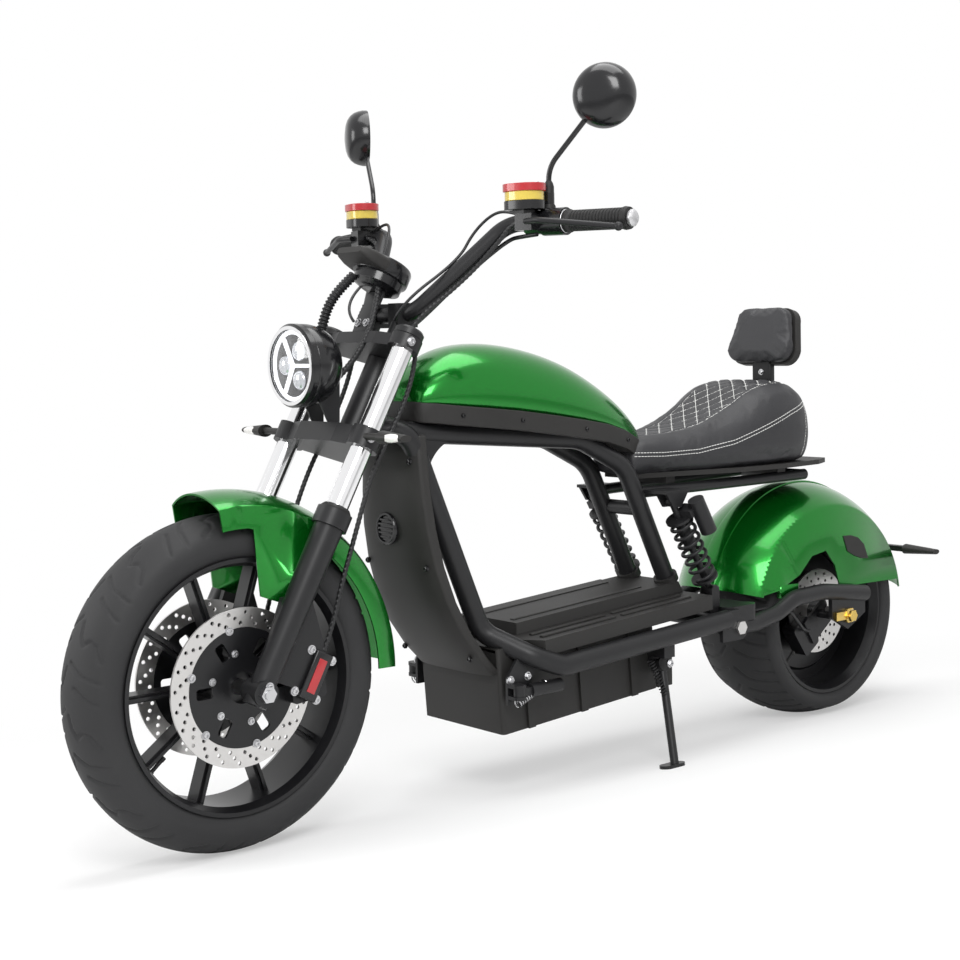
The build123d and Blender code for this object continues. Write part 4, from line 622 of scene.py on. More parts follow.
def skin(name: str, rings: list[list[Vector]], caps: bool = True) -> bpy.types.Object:
    """Stretch a skin over a row of rings with as many points each.

    Args:
        name: the piece's name.
        rings: the rings' points in the upright frame.
        caps: whether the two ends are closed.

    Returns:
        The mesh in its place.
    """
    count = len(rings[0])
    points = [point for ring in rings for point in ring]
    faces = []
    for row in range(len(rings) - 1):
        for index in range(count):
            after = (index + 1) % count
            faces.append(
                (
                    row * count + index, row * count + after, (row + 1) * count + after,
                    (row + 1) * count + index
                )
            )
    if caps:
        faces.append(tuple(range(count)))
        faces.append(tuple(range((len(rings) - 1) * count, len(rings) * count)))
    mesh = bpy.data.meshes.new(name)
    mesh.from_pydata(points, [], faces)
    mesh.transform(STANCE.matrix())
    piece = new_object(name, mesh)
    tidy_mesh(piece)
    return piece


def circle(radius: float, count: int, centre: tuple[float, float] = (0.0, 0.0)) -> list[tuple[float, float]]:
    """Points round a flat circle.

    Args:
        radius: its radius.
        count: how many points.
        centre: its centre.

    Returns:
        The points.
    """
    turns = [math.tau * index / count for index in range(count)]
    return [(centre[0] + radius * math.cos(turn), centre[1] + radius * math.sin(turn)) for turn in turns]


def plate(
    name: str, outlines: list[list[tuple[float, float]]], thickness: float, place: Matrix, bevel: float = 0.0
) -> bpy.types.Object:
    """Cut a flat plate with holes from its outlines.

    Args:
        name: the piece's name.
        outlines: the outer line and the holes, as closed lines in local millimetres.
        thickness: the plate's thickness, half on each side of its plane.
        place: the move from local millimetres to the leaning scooter.
        bevel: how far its edges are rounded, in metres.

    Returns:
        The closed mesh in its place.
    """
    flat = bpy.data.curves.new(name, "CURVE")
    flat.dimensions = "2D"
    flat.fill_mode = "BOTH"
    flat.extrude = thickness / 2.0
    for line in outlines:
        spline = flat.splines.new("POLY")
        spline.points.add(len(line) - 1)
        for spot, (x, y) in zip(spline.points, line):
            spot.co = (x, y, 0.0, 1.0)
        spline.use_cyclic_u = True
    piece = bpy.data.objects.new(name, flat)
    bpy.context.scene.collection.objects.link(piece)
    pick(piece)
    bpy.ops.object.convert(target="MESH")
    piece = bpy.context.object
    piece.data.transform(place)
    tidy_mesh(piece)
    if bevel:
        apply_modifier(
            piece, "BEVEL", width=bevel, segments=2, limit_method="ANGLE", angle_limit=math.radians(40.0)
        )
        tidy_mesh(piece)
    return piece


def block(
    name: str, size: tuple[float, float, float], place: Matrix, bevel: float = 0.0015
) -> bpy.types.Object:
    """Make a rounded block.

    Args:
        name: the piece's name.
        size: its length, width and height in millimetres.
        place: the move from local millimetres to the leaning scooter.
        bevel: the radius of its edges, in metres.

    Returns:
        The closed mesh in its place.
    """
    pick_none()
    bpy.ops.mesh.primitive_cube_add(size=1.0)
    piece = bpy.context.object
    piece.name = name
    piece.data.transform(place @ Matrix.Diagonal((*size, 1.0)))
    apply_modifier(piece, "BEVEL", width=bevel, segments=3)
    tidy_mesh(piece)
    return piece


def bolts(
    name: str, spots: list[tuple[Vector, Vector]], radius: float, body: str, slot: str, finish: Finish
) -> bpy.types.Object:
    """Set bolts with a washer and a hexagon head, all as one piece.

    Args:
        name: the piece's name.
        spots: each bolt's place and the direction that its head faces.
        radius: the head's radius.
        body: the body that they ride on.
        slot: the material slot they belong to.
        finish: their finish.

    Returns:
        The joined bolts.
    """
    made = []
    for index, (spot, way) in enumerate(spots):
        washer = [(0.0, -2.0), (radius * 1.3, -2.0), (radius * 1.3, radius * 0.22), (0.0, radius * 0.22)]
        made.append(lathe(f"{name}_washer_{index}", washer, spot, way, steps=16))
        head = [
            (0.0, radius * 0.2), (radius, radius * 0.2), (radius, radius * 0.75),
            (radius * 0.86, radius * 0.9),
            (radius * 0.5, radius * 0.9), (radius * 0.42, radius * 0.5), (0.0, radius * 0.5),
        ]
        made.append(lathe(f"{name}_head_{index}", head, spot, way, steps=6))
    piece = join(made, name)
    return settle(piece, body, slot, finish)


def read_route(points: list[Vector]) -> list[Vector]:
    """Lay a smooth NURBS line with a cord's points and read it back.

    Args:
        points: its control points in the upright frame.

    Returns:
        Points along the smooth line in the upright frame.
    """
    route = bpy.data.curves.new("route", "CURVE")
    route.dimensions = "3D"
    route.resolution_u = 10
    spline = route.splines.new("NURBS")
    spline.points.add(len(points) - 1)
    for spot, point in zip(spline.points, points):
        spot.co = (*point, 1.0)
    spline.order_u = 3
    spline.use_endpoint_u = True
    holder = bpy.data.objects.new("route", route)
    mesh = bpy.data.meshes.new_from_object(holder)
    line = [point.co.copy() for point in mesh.vertices]
    bpy.data.meshes.remove(mesh)
    bpy.data.objects.remove(holder)
    bpy.data.curves.remove(route)
    return line


def resample(line: list[Vector], step: float) -> list[Vector]:
    """Space points evenly along a line.

    Args:
        line: the line's points.
        step: the wanted distance between points.

    Returns:
        The evenly spaced points.
    """
    lengths = [0.0]
    for before, after in zip(line, line[1:]):
        lengths.append(lengths[-1] + (after - before).length)
    count = max(2, round(lengths[-1] / step))
    wanted = np.linspace(0.0, lengths[-1], count + 1)
    axes = [np.interp(wanted, lengths, [point[axis] for point in line]) for axis in range(3)]
    return [Vector(values) for values in zip(*axes)]


@dataclass(frozen=True)
class Weave:
    """The relief of a cord's skin: how high, how long a turn, and how many strands wind round."""

    height: float = 0.0
    pitch: float = 8.0
    strands: int = 0


def cord(
    name: str, points: list[Vector], radius: float, weave: Weave = Weave(), sides: int = 12
) -> bpy.types.Object:
    """Make a cable or hose along a smooth route.

    Args:
        name: the piece's name.
        points: the route's points in the upright frame.
        radius: its radius in millimetres.
        weave: its relief.
        sides: how many sides its tube has.

    Returns:
        The closed tube in its place.
    """
    step = weave.pitch / 6.0 if weave.height else radius * 1.5
    line = resample(read_route(points), step)
    rings = []
    side = Vector((0.0, 0.0, 1.0))
    travelled = 0.0
    for index, spot in enumerate(line):
        before = line[max(0, index - 1)]
        after = line[min(len(line) - 1, index + 1)]
        way = (after - before).normalized()
        side = (side - way * side.dot(way)).normalized()
        other = way.cross(side)
        travelled += (spot - before).length
        ring = []
        for turn in (math.tau * number / sides for number in range(sides)):
            wave = math.sin(weave.strands * turn + math.tau * travelled / weave.pitch)
            out = radius + weave.height * wave
            ring.append(spot + side * math.cos(turn) * out + other * math.sin(turn) * out)
        rings.append(ring)
    return skin(name, rings)


def mirrored(points: list[Vector]) -> list[Vector]:
    """The same points on the scooter's right."""
    return [Vector((point.x, -point.y, point.z)) for point in points]


@dataclass
class Studio:
    """The floor, the lights and the camera of the picture."""

    camera_place: Colour = (2805.8, 2346.6, 834.3)
    camera_aim: Colour = (879.6, 0.0, 569.4)
    camera_roll: float = math.radians(-1.28)
    focal_share: float = 1669.9 / 960.0
    sensor: float = 36.0
    floor_size: float = 30.0
    near: float = 0.9
    far: float = 2.1
    veil: float = 0.4

    def camera(self) -> None:
        """Set the camera where the photograph was taken from."""
        eye = Vector(self.camera_place)
        ahead = (Vector(self.camera_aim) - eye).normalized()
        right = ahead.cross(Vector((0.0, 0.0, 1.0))).normalized()
        above = right.cross(ahead)
        turn_right = right * math.cos(self.camera_roll) + above * math.sin(self.camera_roll)
        turn_above = above * math.cos(self.camera_roll) - right * math.sin(self.camera_roll)
        facing = Matrix((turn_right, turn_above, -ahead)).transposed().to_4x4()
        lens = bpy.data.cameras.new("camera")
        lens.sensor_width = self.sensor
        lens.lens = self.focal_share * self.sensor
        lens.clip_end = 100.0
        holder = bpy.data.objects.new("camera", lens)
        holder.matrix_world = Matrix.Translation(STANCE.matrix() @ eye) @ STANCE.tilt() @ facing
        bpy.context.scene.collection.objects.link(holder)
        bpy.context.scene.camera = holder

    def floor(self) -> None:
        """Lay a pale floor that turns into the white background away from the scooter."""
        pick_none()
        bpy.ops.mesh.primitive_plane_add(size=self.floor_size, location=(0.0, 0.0, 0.0))
        ground = bpy.context.object
        ground.name = "floor"
        made = bpy.data.materials.new("floor")
        made.use_nodes = True
        tree = made.node_tree
        shader = tree.nodes["Principled BSDF"]
        shader.inputs["Base Color"].default_value = (0.92, 0.92, 0.92, 1.0)
        shader.inputs["Roughness"].default_value = 0.8
        shader.inputs["Specular IOR Level"].default_value = 0.1
        white = tree.nodes.new("ShaderNodeEmission")
        white.inputs["Strength"].default_value = 1.0
        place = tree.nodes.new("ShaderNodeTexCoord")
        reach = tree.nodes.new("ShaderNodeVectorMath")
        reach.operation = "LENGTH"
        fade = tree.nodes.new("ShaderNodeMapRange")
        fade.interpolation_type = "SMOOTHSTEP"
        fade.inputs["From Min"].default_value = self.near
        fade.inputs["From Max"].default_value = self.far
        fade.inputs["To Min"].default_value = self.veil
        path = tree.nodes.new("ShaderNodeLightPath")
        seen = tree.nodes.new("ShaderNodeMath")
        seen.operation = "MAXIMUM"
        share = tree.nodes.new("ShaderNodeMath")
        share.operation = "MULTIPLY"
        blend = tree.nodes.new("ShaderNodeMixShader")
        tree.links.new(place.outputs["Object"], reach.inputs[0])
        tree.links.new(reach.outputs["Value"], fade.inputs["Value"])
        tree.links.new(path.outputs["Is Camera Ray"], seen.inputs[0])
        tree.links.new(path.outputs["Is Transmission Ray"], seen.inputs[1])
        tree.links.new(fade.outputs["Result"], share.inputs[0])
        tree.links.new(seen.outputs["Value"], share.inputs[1])
        tree.links.new(share.outputs["Value"], blend.inputs["Fac"])
        tree.links.new(shader.outputs["BSDF"], blend.inputs[1])
        tree.links.new(white.outputs["Emission"], blend.inputs[2])
        tree.links.new(blend.outputs["Shader"], tree.nodes["Material Output"].inputs["Surface"])
        ground.data.materials.append(made)

    def world(self) -> None:
        """Light the scene softly from all round, with white behind it."""
        world = bpy.data.worlds.new("studio")
        bpy.context.scene.world = world
        world.use_nodes = True
        tree = world.node_tree
        sky = tree.nodes["Background"]
        sky.inputs["Color"].default_value = (1.0, 1.0, 1.0, 1.0)
        sky.inputs["Strength"].default_value = 0.5
        white = tree.nodes.new("ShaderNodeBackground")
        white.inputs["Color"].default_value = (1.0, 1.0, 1.0, 1.0)
        white.inputs["Strength"].default_value = 1.0
        path = tree.nodes.new("ShaderNodeLightPath")
        direct = tree.nodes.new("ShaderNodeMath")
        direct.operation = "MAXIMUM"
        seen = tree.nodes.new("ShaderNodeMath")
        seen.operation = "MAXIMUM"
        blend = tree.nodes.new("ShaderNodeMixShader")
        tree.links.new(path.outputs["Is Camera Ray"], direct.inputs[0])
        tree.links.new(path.outputs["Is Transmission Ray"], direct.inputs[1])
        tree.links.new(direct.outputs["Value"], seen.inputs[0])
        tree.links.new(path.outputs["Is Glossy Ray"], seen.inputs[1])
        tree.links.new(seen.outputs["Value"], blend.inputs["Fac"])
        tree.links.new(sky.outputs["Background"], blend.inputs[1])
        tree.links.new(white.outputs["Background"], blend.inputs[2])
        tree.links.new(blend.outputs["Shader"], tree.nodes["World Output"].inputs["Surface"])

    def lamp(self, name: str, place: Colour, size: float, power: float) -> None:
        """Hang one soft square lamp that faces the scooter.

        Args:
            name: the lamp's name.
            place: where it hangs, in metres.
            size: the side of its square in metres.
            power: its power in watts.
        """
        data = bpy.data.lights.new(name, "AREA")
        data.size = size
        data.energy = power
        holder = bpy.data.objects.new(name, data)
        holder.location = place
        holder.rotation_mode = "QUATERNION"
        holder.rotation_quaternion = (Vector((0.1, 0.0, 0.5)) - Vector(place)).to_track_quat("-Z", "Y")
        bpy.context.scene.collection.objects.link(holder)

    def build(self) -> None:
        """Set up the whole studio."""
        self.camera()
        self.floor()
        self.world()
        self.lamp("key", (2.0, 2.8, 2.6), 1.6, 85.0)
        self.lamp("fill", (3.0, -1.6, 1.8), 1.4, 35.0)
        self.lamp("top", (0.0, 0.4, 3.2), 2.2, 60.0)
        bpy.context.scene.view_settings.view_transform = "Standard"
        LOG.info("studio ready")


@dataclass
class Coverings:
    """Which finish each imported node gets, by its record slot or by its own name."""

    finishes: dict[str, Finish] = field(default_factory=lambda: {
        "tyre": TYRE_RUBBER,
        "cast_black": WHEEL_BLACK,
        "frame_black": POWDER_BLACK,
        "bright_steel": DISC_STEEL,
        "chrome": CHROME,
        "silver": SILVER,
        "green": GREEN_PAINT,
        "plastic": MOULDED,
        "gloss": GLOSS_BLACK,
        "lens": CLEAR_LENS,
        "smoked": MOULDED,
        "red_lens": RED_LENS,
        "rubber": GRIP_RUBBER,
        "seat": SEAT_LEATHER,
    })
    own: dict[str, Finish] = field(default_factory=lambda: {"rear_caliper": WHEEL_BLACK, "front_axle": ZINC})

    def build(self) -> None:
        """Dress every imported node."""
        for part in FRAME["record"]["subparts"]:
            dress(part["node"], self.own.get(part["node"], self.finishes[part["material_slot"]]))


def arc_through(
    first: tuple[float, float], middle: tuple[float, float], last: tuple[float, float], count: int
) -> list[tuple[float, float]]:
    """Points along the arc through three points.

    Args:
        first: where it starts.
        middle: a point that it passes.
        last: where it ends.
        count: how many steps it has.

    Returns:
        The points with both ends.
    """
    (ax, ay), (bx, by), (cx, cy) = first, middle, last
    spread = 2.0 * (ax * (by - cy) + bx * (cy - ay) + cx * (ay - by))
    sums = [ax * ax + ay * ay, bx * bx + by * by, cx * cx + cy * cy]
    ox = (sums[0] * (by - cy) + sums[1] * (cy - ay) + sums[2] * (ay - by)) / spread
    oy = (sums[0] * (cx - bx) + sums[1] * (ax - cx) + sums[2] * (bx - ax)) / spread
    reach = math.hypot(ax - ox, ay - oy)
    start, through, end = (math.atan2(y - oy, x - ox) for x, y in (first, middle, last))
    sweep = (end - start) % math.tau
    if (through - start) % math.tau > sweep:
        sweep -= math.tau
    turns = [start + sweep * index / count for index in range(count + 1)]
    return [(ox + reach * math.cos(turn), oy + reach * math.sin(turn)) for turn in turns]


@dataclass
class Tyre:
    """A tyre with its tread grooves pressed into the crown."""

    node: str
    body: str
    centre: Vector
    radius: float
    half: float
    crown: float
    crown_half: float
    seat_radius: float
    seat_half: float
    lip_radius: float
    pitches: int
    lines: list[list[tuple[float, float]]]
    steps: int = 640
    row: float = 2.6
    groove_depth: float = 3.0
    groove_half: float = 2.3

    def profile(self) -> list[tuple[float, float]]:
        """Work out the tyre's cut.

        Returns:
            Points as radius and height along the axle, in millimetres.
        """
        shoulder = self.radius - self.crown + math.sqrt(self.crown**2 - self.crown_half**2)
        middle = (shoulder + self.lip_radius) / 2.0
        rows = round(self.crown_half * 2.0 / self.row)
        across = [self.crown_half * (2.0 * index / rows - 1.0) for index in range(rows + 1)]
        crown = [(self.radius - self.crown + math.sqrt(self.crown**2 - y * y), y) for y in across]
        wall = arc_through(
            (shoulder, self.crown_half), (middle, self.half), (self.lip_radius, self.seat_half), 12
        )[1:]
        bead = [(self.seat_radius, self.seat_half), (self.seat_radius, -self.seat_half)]
        other = [(radius, -y) for radius, y in reversed(wall)]
        return crown + wall + bead + other

    def press(self, piece: bpy.types.Object, local: Matrix) -> None:
        """Press the grooves into the crown.

        Args:
            piece: the tyre in its place.
            local: the move from the tyre's own millimetres to the leaning scooter.
        """
        count = len(piece.data.vertices)
        flat = np.empty(count * 3)
        piece.data.vertices.foreach_get("co", flat)
        back = np.array(local.inverted())
        spots = flat.reshape(-1, 3) @ back[:3, :3].T + back[:3, 3]
        reach = np.hypot(spots[:, 0], spots[:, 1])
        crown = (np.abs(spots[:, 2]) < self.crown_half + 3.0) & (reach > self.seat_radius + 12.0)
        pitch = math.tau * self.radius / self.pitches
        share = (np.arctan2(spots[:, 1], spots[:, 0]) / math.tau * self.pitches) % 1.0
        share = np.where(spots[:, 2] < 0.0, (share + 0.5) % 1.0, share)
        along = share * pitch
        across = np.abs(spots[:, 2])
        nearest = np.full(count, 1e6)
        for line in self.lines:
            for (a_share, a_across), (b_share, b_across) in zip(line, line[1:]):
                for shift in (-1.0, 0.0, 1.0):
                    ax, ay = (a_share + shift) * pitch, a_across * self.crown_half
                    bx, by = (b_share + shift) * pitch, b_across * self.crown_half
                    dx, dy = bx - ax, by - ay
                    part = np.clip(((along - ax) * dx + (across - ay) * dy) / (dx * dx + dy * dy), 0.0, 1.0)
                    nearest = np.minimum(nearest, np.hypot(along - ax - part * dx, across - ay - part * dy))
        deep = self.groove_depth * np.clip(1.6 - nearest / self.groove_half, 0.0, 1.0)
        shrink = np.where(crown, (reach - deep) / np.maximum(reach, 1.0), 1.0)
        spots[:, 0] *= shrink
        spots[:, 1] *= shrink
        ahead = np.array(local)
        moved = spots @ ahead[:3, :3].T + ahead[:3, 3]
        piece.data.vertices.foreach_set("co", moved.reshape(-1))
        piece.data.update()

    def build(self) -> None:
        """Spin the tyre and press its tread."""
        way = Vector((0.0, 1.0, 0.0))
        piece = lathe(self.node + "_treaded", self.profile(), self.centre, way, steps=self.steps, ring=True)
        self.press(piece, STANCE.frame(self.centre, way))
        settle(piece, self.body, "tyre", TYRE_RUBBER, self.node)


FRONT_TREAD = [
    [(0.06, 0.12), (0.2, 0.22), (0.3, 0.4), (0.24, 0.58), (0.28, 0.78), (0.44, 0.96)],
    [(0.5, 0.06), (0.62, 0.5), (0.68, 1.0)],
    [(0.76, 0.34), (0.93, 0.98)],
]
REAR_TREAD = [
    [(0.05, 0.06), (0.3, 0.3), (0.42, 0.62), (0.5, 0.98)],
    [(0.62, 0.2), (0.78, 0.6), (0.86, 1.0)],
    [(0.12, 0.55), (0.2, 0.98)],
]


@dataclass
class Brakes:
    """The drilled discs, their buttons and bolts, and what shows of the calipers."""

    outer: float = 130.0
    inner: float = 98.0
    offset: float = 57.0
    thickness: float = 4.0
    hole: float = 3.4
    sets: int = 24
    rear_outer: float = 90.0
    rear_inner: float = 34.0
    rear_offset: float = 58.0
    rear_sets: int = 18

    def drilled(
        self, name: str, outer: float, inner: float, sets: int, rows: list[float], place: Matrix
    ) -> bpy.types.Object:
        """Cut one disc with its rows of holes.

        Args:
            name: the piece's name.
            outer: its outer radius.
            inner: its inner radius.
            sets: how many times the rows of holes repeat.
            rows: the radius of each row.
            place: the disc's frame.

        Returns:
            The disc.
        """
        outlines = [circle(outer, 96), circle(inner, 72)]
        for number in range(sets):
            for order, radius in enumerate(rows):
                turn = math.tau * (number + order / len(rows)) / sets
                outlines.append(circle(self.hole, 10, (radius * math.cos(turn), radius * math.sin(turn))))
        return plate(name, outlines, self.thickness, place)

    def build(self) -> None:
        """Make both wheels' brakes."""
        way = Vector((0.0, 1.0, 0.0))
        centre = STANCE.front_axle()
        made = []
        spots, buttons = [], []
        for side in LEFT_AND_RIGHT:
            spot = centre + way * self.offset * side
            rows = [self.inner + 7.0, self.inner + 15.5, self.outer - 8.0]
            made.append(
                self.drilled("disc", self.outer, self.inner, self.sets, rows, STANCE.frame(spot, way))
            )
            for number in range(6):
                turn = math.tau * number / 6.0 + 0.3
                ring = Vector((math.cos(turn), 0.0, math.sin(turn)))
                face = way * side * (self.thickness / 2.0 + 0.6)
                buttons.append((spot + face + ring * (self.inner - 1.0), way * side))
                spots.append((spot + face + ring * 58.0, way * side))
        settle(join(made, "drilled_front_discs"), "front_wheel", "bright_steel", DISC_STEEL, "front_discs")
        bolts("disc_buttons", buttons, 5.5, "front_wheel", "cast_black", ZINC)
        bolts("disc_bolts", spots, 5.0, "front_wheel", "bright_steel", ZINC)
        spot = STANCE.rear_axle() + way * self.rear_offset
        rows = [self.rear_inner + 22.0, self.rear_inner + 34.0, self.rear_outer - 9.0]
        rear = self.drilled(
            "drilled_rear_disc", self.rear_outer, self.rear_inner, self.rear_sets, rows, STANCE.frame(
                spot, way
            )
        )
        settle(rear, "rear_wheel", "bright_steel", DISC_STEEL, "rear_disc")
        for side in LEFT_AND_RIGHT:
            label = "left" if side > 0.0 else "right"
            face = STANCE.fork(-92.0, 103.5 * side, 62.0)
            up = STANCE.fork_way()
            cover = block(
                f"caliper_cover_{label}", (34.0, 82.0, 8.0), STANCE.frame(face, way * side, up), 0.003
            )
            settle(cover, "fork", "cast_black", GLOSS_BLACK)
            badge = block(
                f"caliper_panel_{label}", (16.0, 58.0, 1.6), STANCE.frame(
                    face + way * side * 4.6, way * side, up
                ), 0.0006
            )
            settle(badge, "fork", "gloss", RED_LID)
            corners = [(-22.0, 34.0), (-22.0, -34.0), (24.0, 36.0), (24.0, -36.0)]
            heads = []
            for ahead, along in corners:
                spot = STANCE.fork(-92.0 + ahead, 99.0 * side, 62.0 + along)
                heads.append((spot, way * side))
            bolts(f"caliper_bolts_{label}", heads, 6.0, "fork", "bright_steel", ZINC)


@dataclass
class Headlight:
    """The round lamp: bowl, glass, ring of light, three lenses and a three-armed bar."""

    radius: float = 70.0
    depth: float = 92.0
    glass: float = 59.5
    floor: float = -13.0

    def build(self) -> None:
        """Make the lamp and the two plates that carry it."""
        spot = STANCE.fork(123.0, 0.0, 517.0)
        way = Vector((1.0, 0.0, 0.0))
        bowl = lathe(
            "lamp_bowl",
            [
                (0.0, self.floor), (self.glass, self.floor), (self.glass + 0.4, -0.6), (66.0, -0.6),
                (67.5, -3.0), (70.0, -5.0),
                (70.0, -15.0), (68.6, -16.5), (69.4, -18.0), (69.0, -34.0), (65.5, -50.0), (58.0, -64.0),
                (46.0, -76.0),
                (31.0, -85.0), (14.0, -90.5), (0.0, -self.depth),
            ],
            spot, way, steps=72,
        )
        settle(bowl, "fork", "gloss", GLOSS_BLACK, "headlight")
        glass = lathe(
            "lamp_glass",
            [
                (0.0, 3.0), (22.0, 2.4), (42.0, 0.6), (self.glass, -3.0), (self.glass, -5.0), (42.0, -1.2),
                (22.0, 0.7), (0.0, 1.3)
            ],
            spot, way, steps=72,
        )
        settle(glass, "fork", "lens", CLEAR_LENS, "headlight_lens")
        halo = lathe(
            "lamp_halo",
            [
                (56.0 + 4.0 * math.cos(turn), -9.0 + 3.0 * math.sin(turn))
                for turn in np.linspace(0.0, 5.6, 10)
            ],
            spot, way, steps=72, ring=True,
        )
        settle(halo, "fork", "lens", LED_WHITE)
        lenses, arms = [], []
        for number in range(3):
            turn = math.radians(60.0 + 120.0 * number)
            middle = spot + Vector((0.0, math.cos(turn), math.sin(turn))) * 28.0
            dome = [(0.0, -3.5), (7.0, -4.2), (13.0, -7.0), (16.0, -10.5), (16.5, -12.8), (0.0, -12.8)]
            lenses.append(lathe(f"lens_{number}", dome, middle, way, steps=32))
            arm_turn = math.radians(120.0 * number)
            out = Vector((0.0, math.cos(arm_turn), math.sin(arm_turn)))
            arm = STANCE.frame(spot + out * 26.0 + way * -9.0, way, out)
            arms.append(block(f"arm_{number}", (6.0, 50.0, 6.0), arm, 0.0012))
        settle(join(lenses, "lamp_lenses"), "fork", "lens", LAMP_LENS)
        settle(join(arms, "lamp_bars"), "fork", "lens", LED_WHITE)
        outline = [
            STANCE.fork(ahead, 0.0, up) for ahead, up in (
                (0.0, 462.5), (27.0, 462.5), (60.0, 486.0), (76.0, 520.0), (40.0, 540.0)
            )
        ]
        plates = []
        for side in (24.0, -24.0):
            place = STANCE.frame(Vector((0.0, side, 0.0)), Vector((0.0, -1.0, 0.0)))
            plates.append(plate("lamp_plate", [[(point.x, point.z) for point in outline]], 5.0, place, 0.001))
        settle(join(plates, "lamp_bracket"), "fork", "frame_black", POWDER_BLACK)
        heads = [(STANCE.fork(58.0, 27.0 * side, 505.0), Vector((0.0, side, 0.0))) for side in LEFT_AND_RIGHT]
        bolts("lamp_bolts", heads, 6.0, "fork", "bright_steel", ZINC)


@dataclass
class Cockpit:
    """What the rider sees and holds: dash, grips, reservoirs, mirrors and hoses."""

    bar_middle: Vector = field(default_factory=lambda: STANCE.fork(-21.0, 0.0, 690.0))
    corner_step: Vector = field(default_factory=lambda: Vector((-125.0, 174.0, 150.0)))
    end_step: Vector = field(default_factory=lambda: Vector((-180.0, 406.0, 146.0)))
    mirror_step: Vector = field(default_factory=lambda: Vector((-202.0, 336.0, 350.0)))
    control_y: float = 232.0
    grip_length: float = 118.0
    mirror_yaw: float = math.radians(29.0)

    def corner(self) -> Vector:
        """The bend of the left bar."""
        return self.bar_middle + self.corner_step

    def end(self) -> Vector:
        """The end of the left bar."""
        return self.bar_middle + self.end_step

    def grip_way(self) -> Vector:
        """The direction of the left grip."""
        return (self.end() - self.corner()).normalized()

    def control(self) -> Vector:
        """The middle of the left control's clamp."""
        way = self.grip_way()
        return self.corner() + way * ((self.control_y - self.corner_step.y) / way.y)

    def dash(self) -> None:
        """Make the dash's cup, its visor, its glass and its bracket."""
        way = STANCE.fork_way()
        foot = STANCE.fork(28.0, 0.0, 714.0)
        cup = lathe(
            "dash_cup",
            [
                (0.0, 0.0), (30.0, 0.0), (36.0, 4.0), (43.0, 6.0), (44.0, 20.0), (49.0, 22.0), (50.0, 25.0),
                (50.0, 45.0),
                (48.0, 49.0), (45.0, 50.0), (43.0, 49.0), (42.0, 45.0), (0.0, 45.0),
            ],
            foot, way, steps=64,
        )
        settle(cup, "fork", "gloss", GLOSS_BLACK, "dash")
        glass = lathe(
            "dash_glass", [(0.0, 45.3), (41.4, 45.3), (41.4, 47.0), (30.0, 47.8), (0.0, 48.2)], foot, way,
            steps=64
        )
        settle(glass, "fork", "gloss", SCREEN)
        rings = []
        for ahead, half, low, high in (
            (22.0, 47.0, 22.0, 47.0), (52.0, 45.0, 23.0, 46.0), (70.0, 40.0, 26.0, 44.0),
            (78.0, 34.0, 29.0, 40.0)
        ):
            corner = min(8.0, (high - low) / 3.0)
            ring = []
            for across, up, start in (
                (half - corner, high - corner, 0.0), (corner - half, high - corner, 90.0),
                (corner - half, low + corner, 180.0), (half - corner, low + corner, 270.0),
            ):
                for step in range(5):
                    turn = math.radians(start + 22.5 * step)
                    ring.append(
                        STANCE.fork(
                            28.0 + ahead, across + corner * math.cos(turn),
                            714.0 + up + corner * math.sin(turn)
                        )
                    )
            rings.append(ring)
        settle(skin("dash_visor", rings), "fork", "gloss", MOULDED)
        side = Vector((math.cos(STANCE.rake), 0.0, math.sin(STANCE.rake)))
        bracket = block(
            "dash_bracket", (5.0, 44.0, 78.0),
            STANCE.frame(STANCE.fork(21.0, 0.0, 675.0), way, Vector((0.0, 1.0, 0.0))), 0.001
        )
        settle(bracket, "fork", "frame_black", POWDER_BLACK)
        heads = [(STANCE.fork(24.0, across, 652.0), side) for across in (-12.0, 12.0)]
        bolts("dash_bolts", heads, 6.0, "fork", "bright_steel", ZINC)

    def grips(self) -> None:
        """Make the ribbed grips with their metal ends."""
        profile = [(11.6, 1.0), (18.6, 1.0), (19.4, 3.0), (19.4, 8.0), (17.2, 10.0)]
        for number in range(16):
            start = 12.0 + number * 6.2
            profile += [(16.2, start), (17.6, start + 1.4), (17.6, start + 4.4), (16.2, start + 5.4)]
        profile += [(18.6, 113.0), (19.2, 116.0), (18.0, 123.0), (0.0, 124.0)]
        rubber, ends, collars = [], [], []
        for side in LEFT_AND_RIGHT:
            way = self.grip_way()
            way.y *= side
            end = self.end()
            end.y *= side
            start = end - way * self.grip_length
            rubber.append(lathe("grip", profile, start, way, steps=40))
            cap = [
                (0.0, 124.2), (13.0, 124.2), (14.0, 126.0), (14.0, 130.0), (11.0, 133.0), (8.0, 135.0),
                (0.0, 135.5)
            ]
            ends.append(lathe("cap", cap, start, way, steps=32))
            collar = [(12.0, -12.0), (19.6, -12.0), (20.4, -10.0), (20.4, -1.0), (19.0, 0.6), (12.0, 0.6)]
            collars.append(lathe("collar", collar, start, way, steps=32, ring=True))
        settle(join(rubber, "ribbed_grips"), "fork", "rubber", GRIP_RUBBER, "grips")
        settle(join(ends, "bar_ends"), "fork", "bright_steel", SILVER)
        settle(join(collars, "grip_collars"), "fork", "bright_steel", SILVER)

    def slot_outline(self, length: float, width: float) -> list[tuple[float, float]]:
        """Draw a reservoir's flat outline, rounded at both ends.

        Args:
            length: its whole length.
            width: its width.

        Returns:
            The outline's points.
        """
        half = width / 2.0
        run = length / 2.0 - half
        ends = [
            (half * math.cos(turn), run + half * math.sin(turn))
            for turn in np.linspace(0.0, math.pi, 13)
        ]
        return ends + [(-x, -y) for x, y in ends]

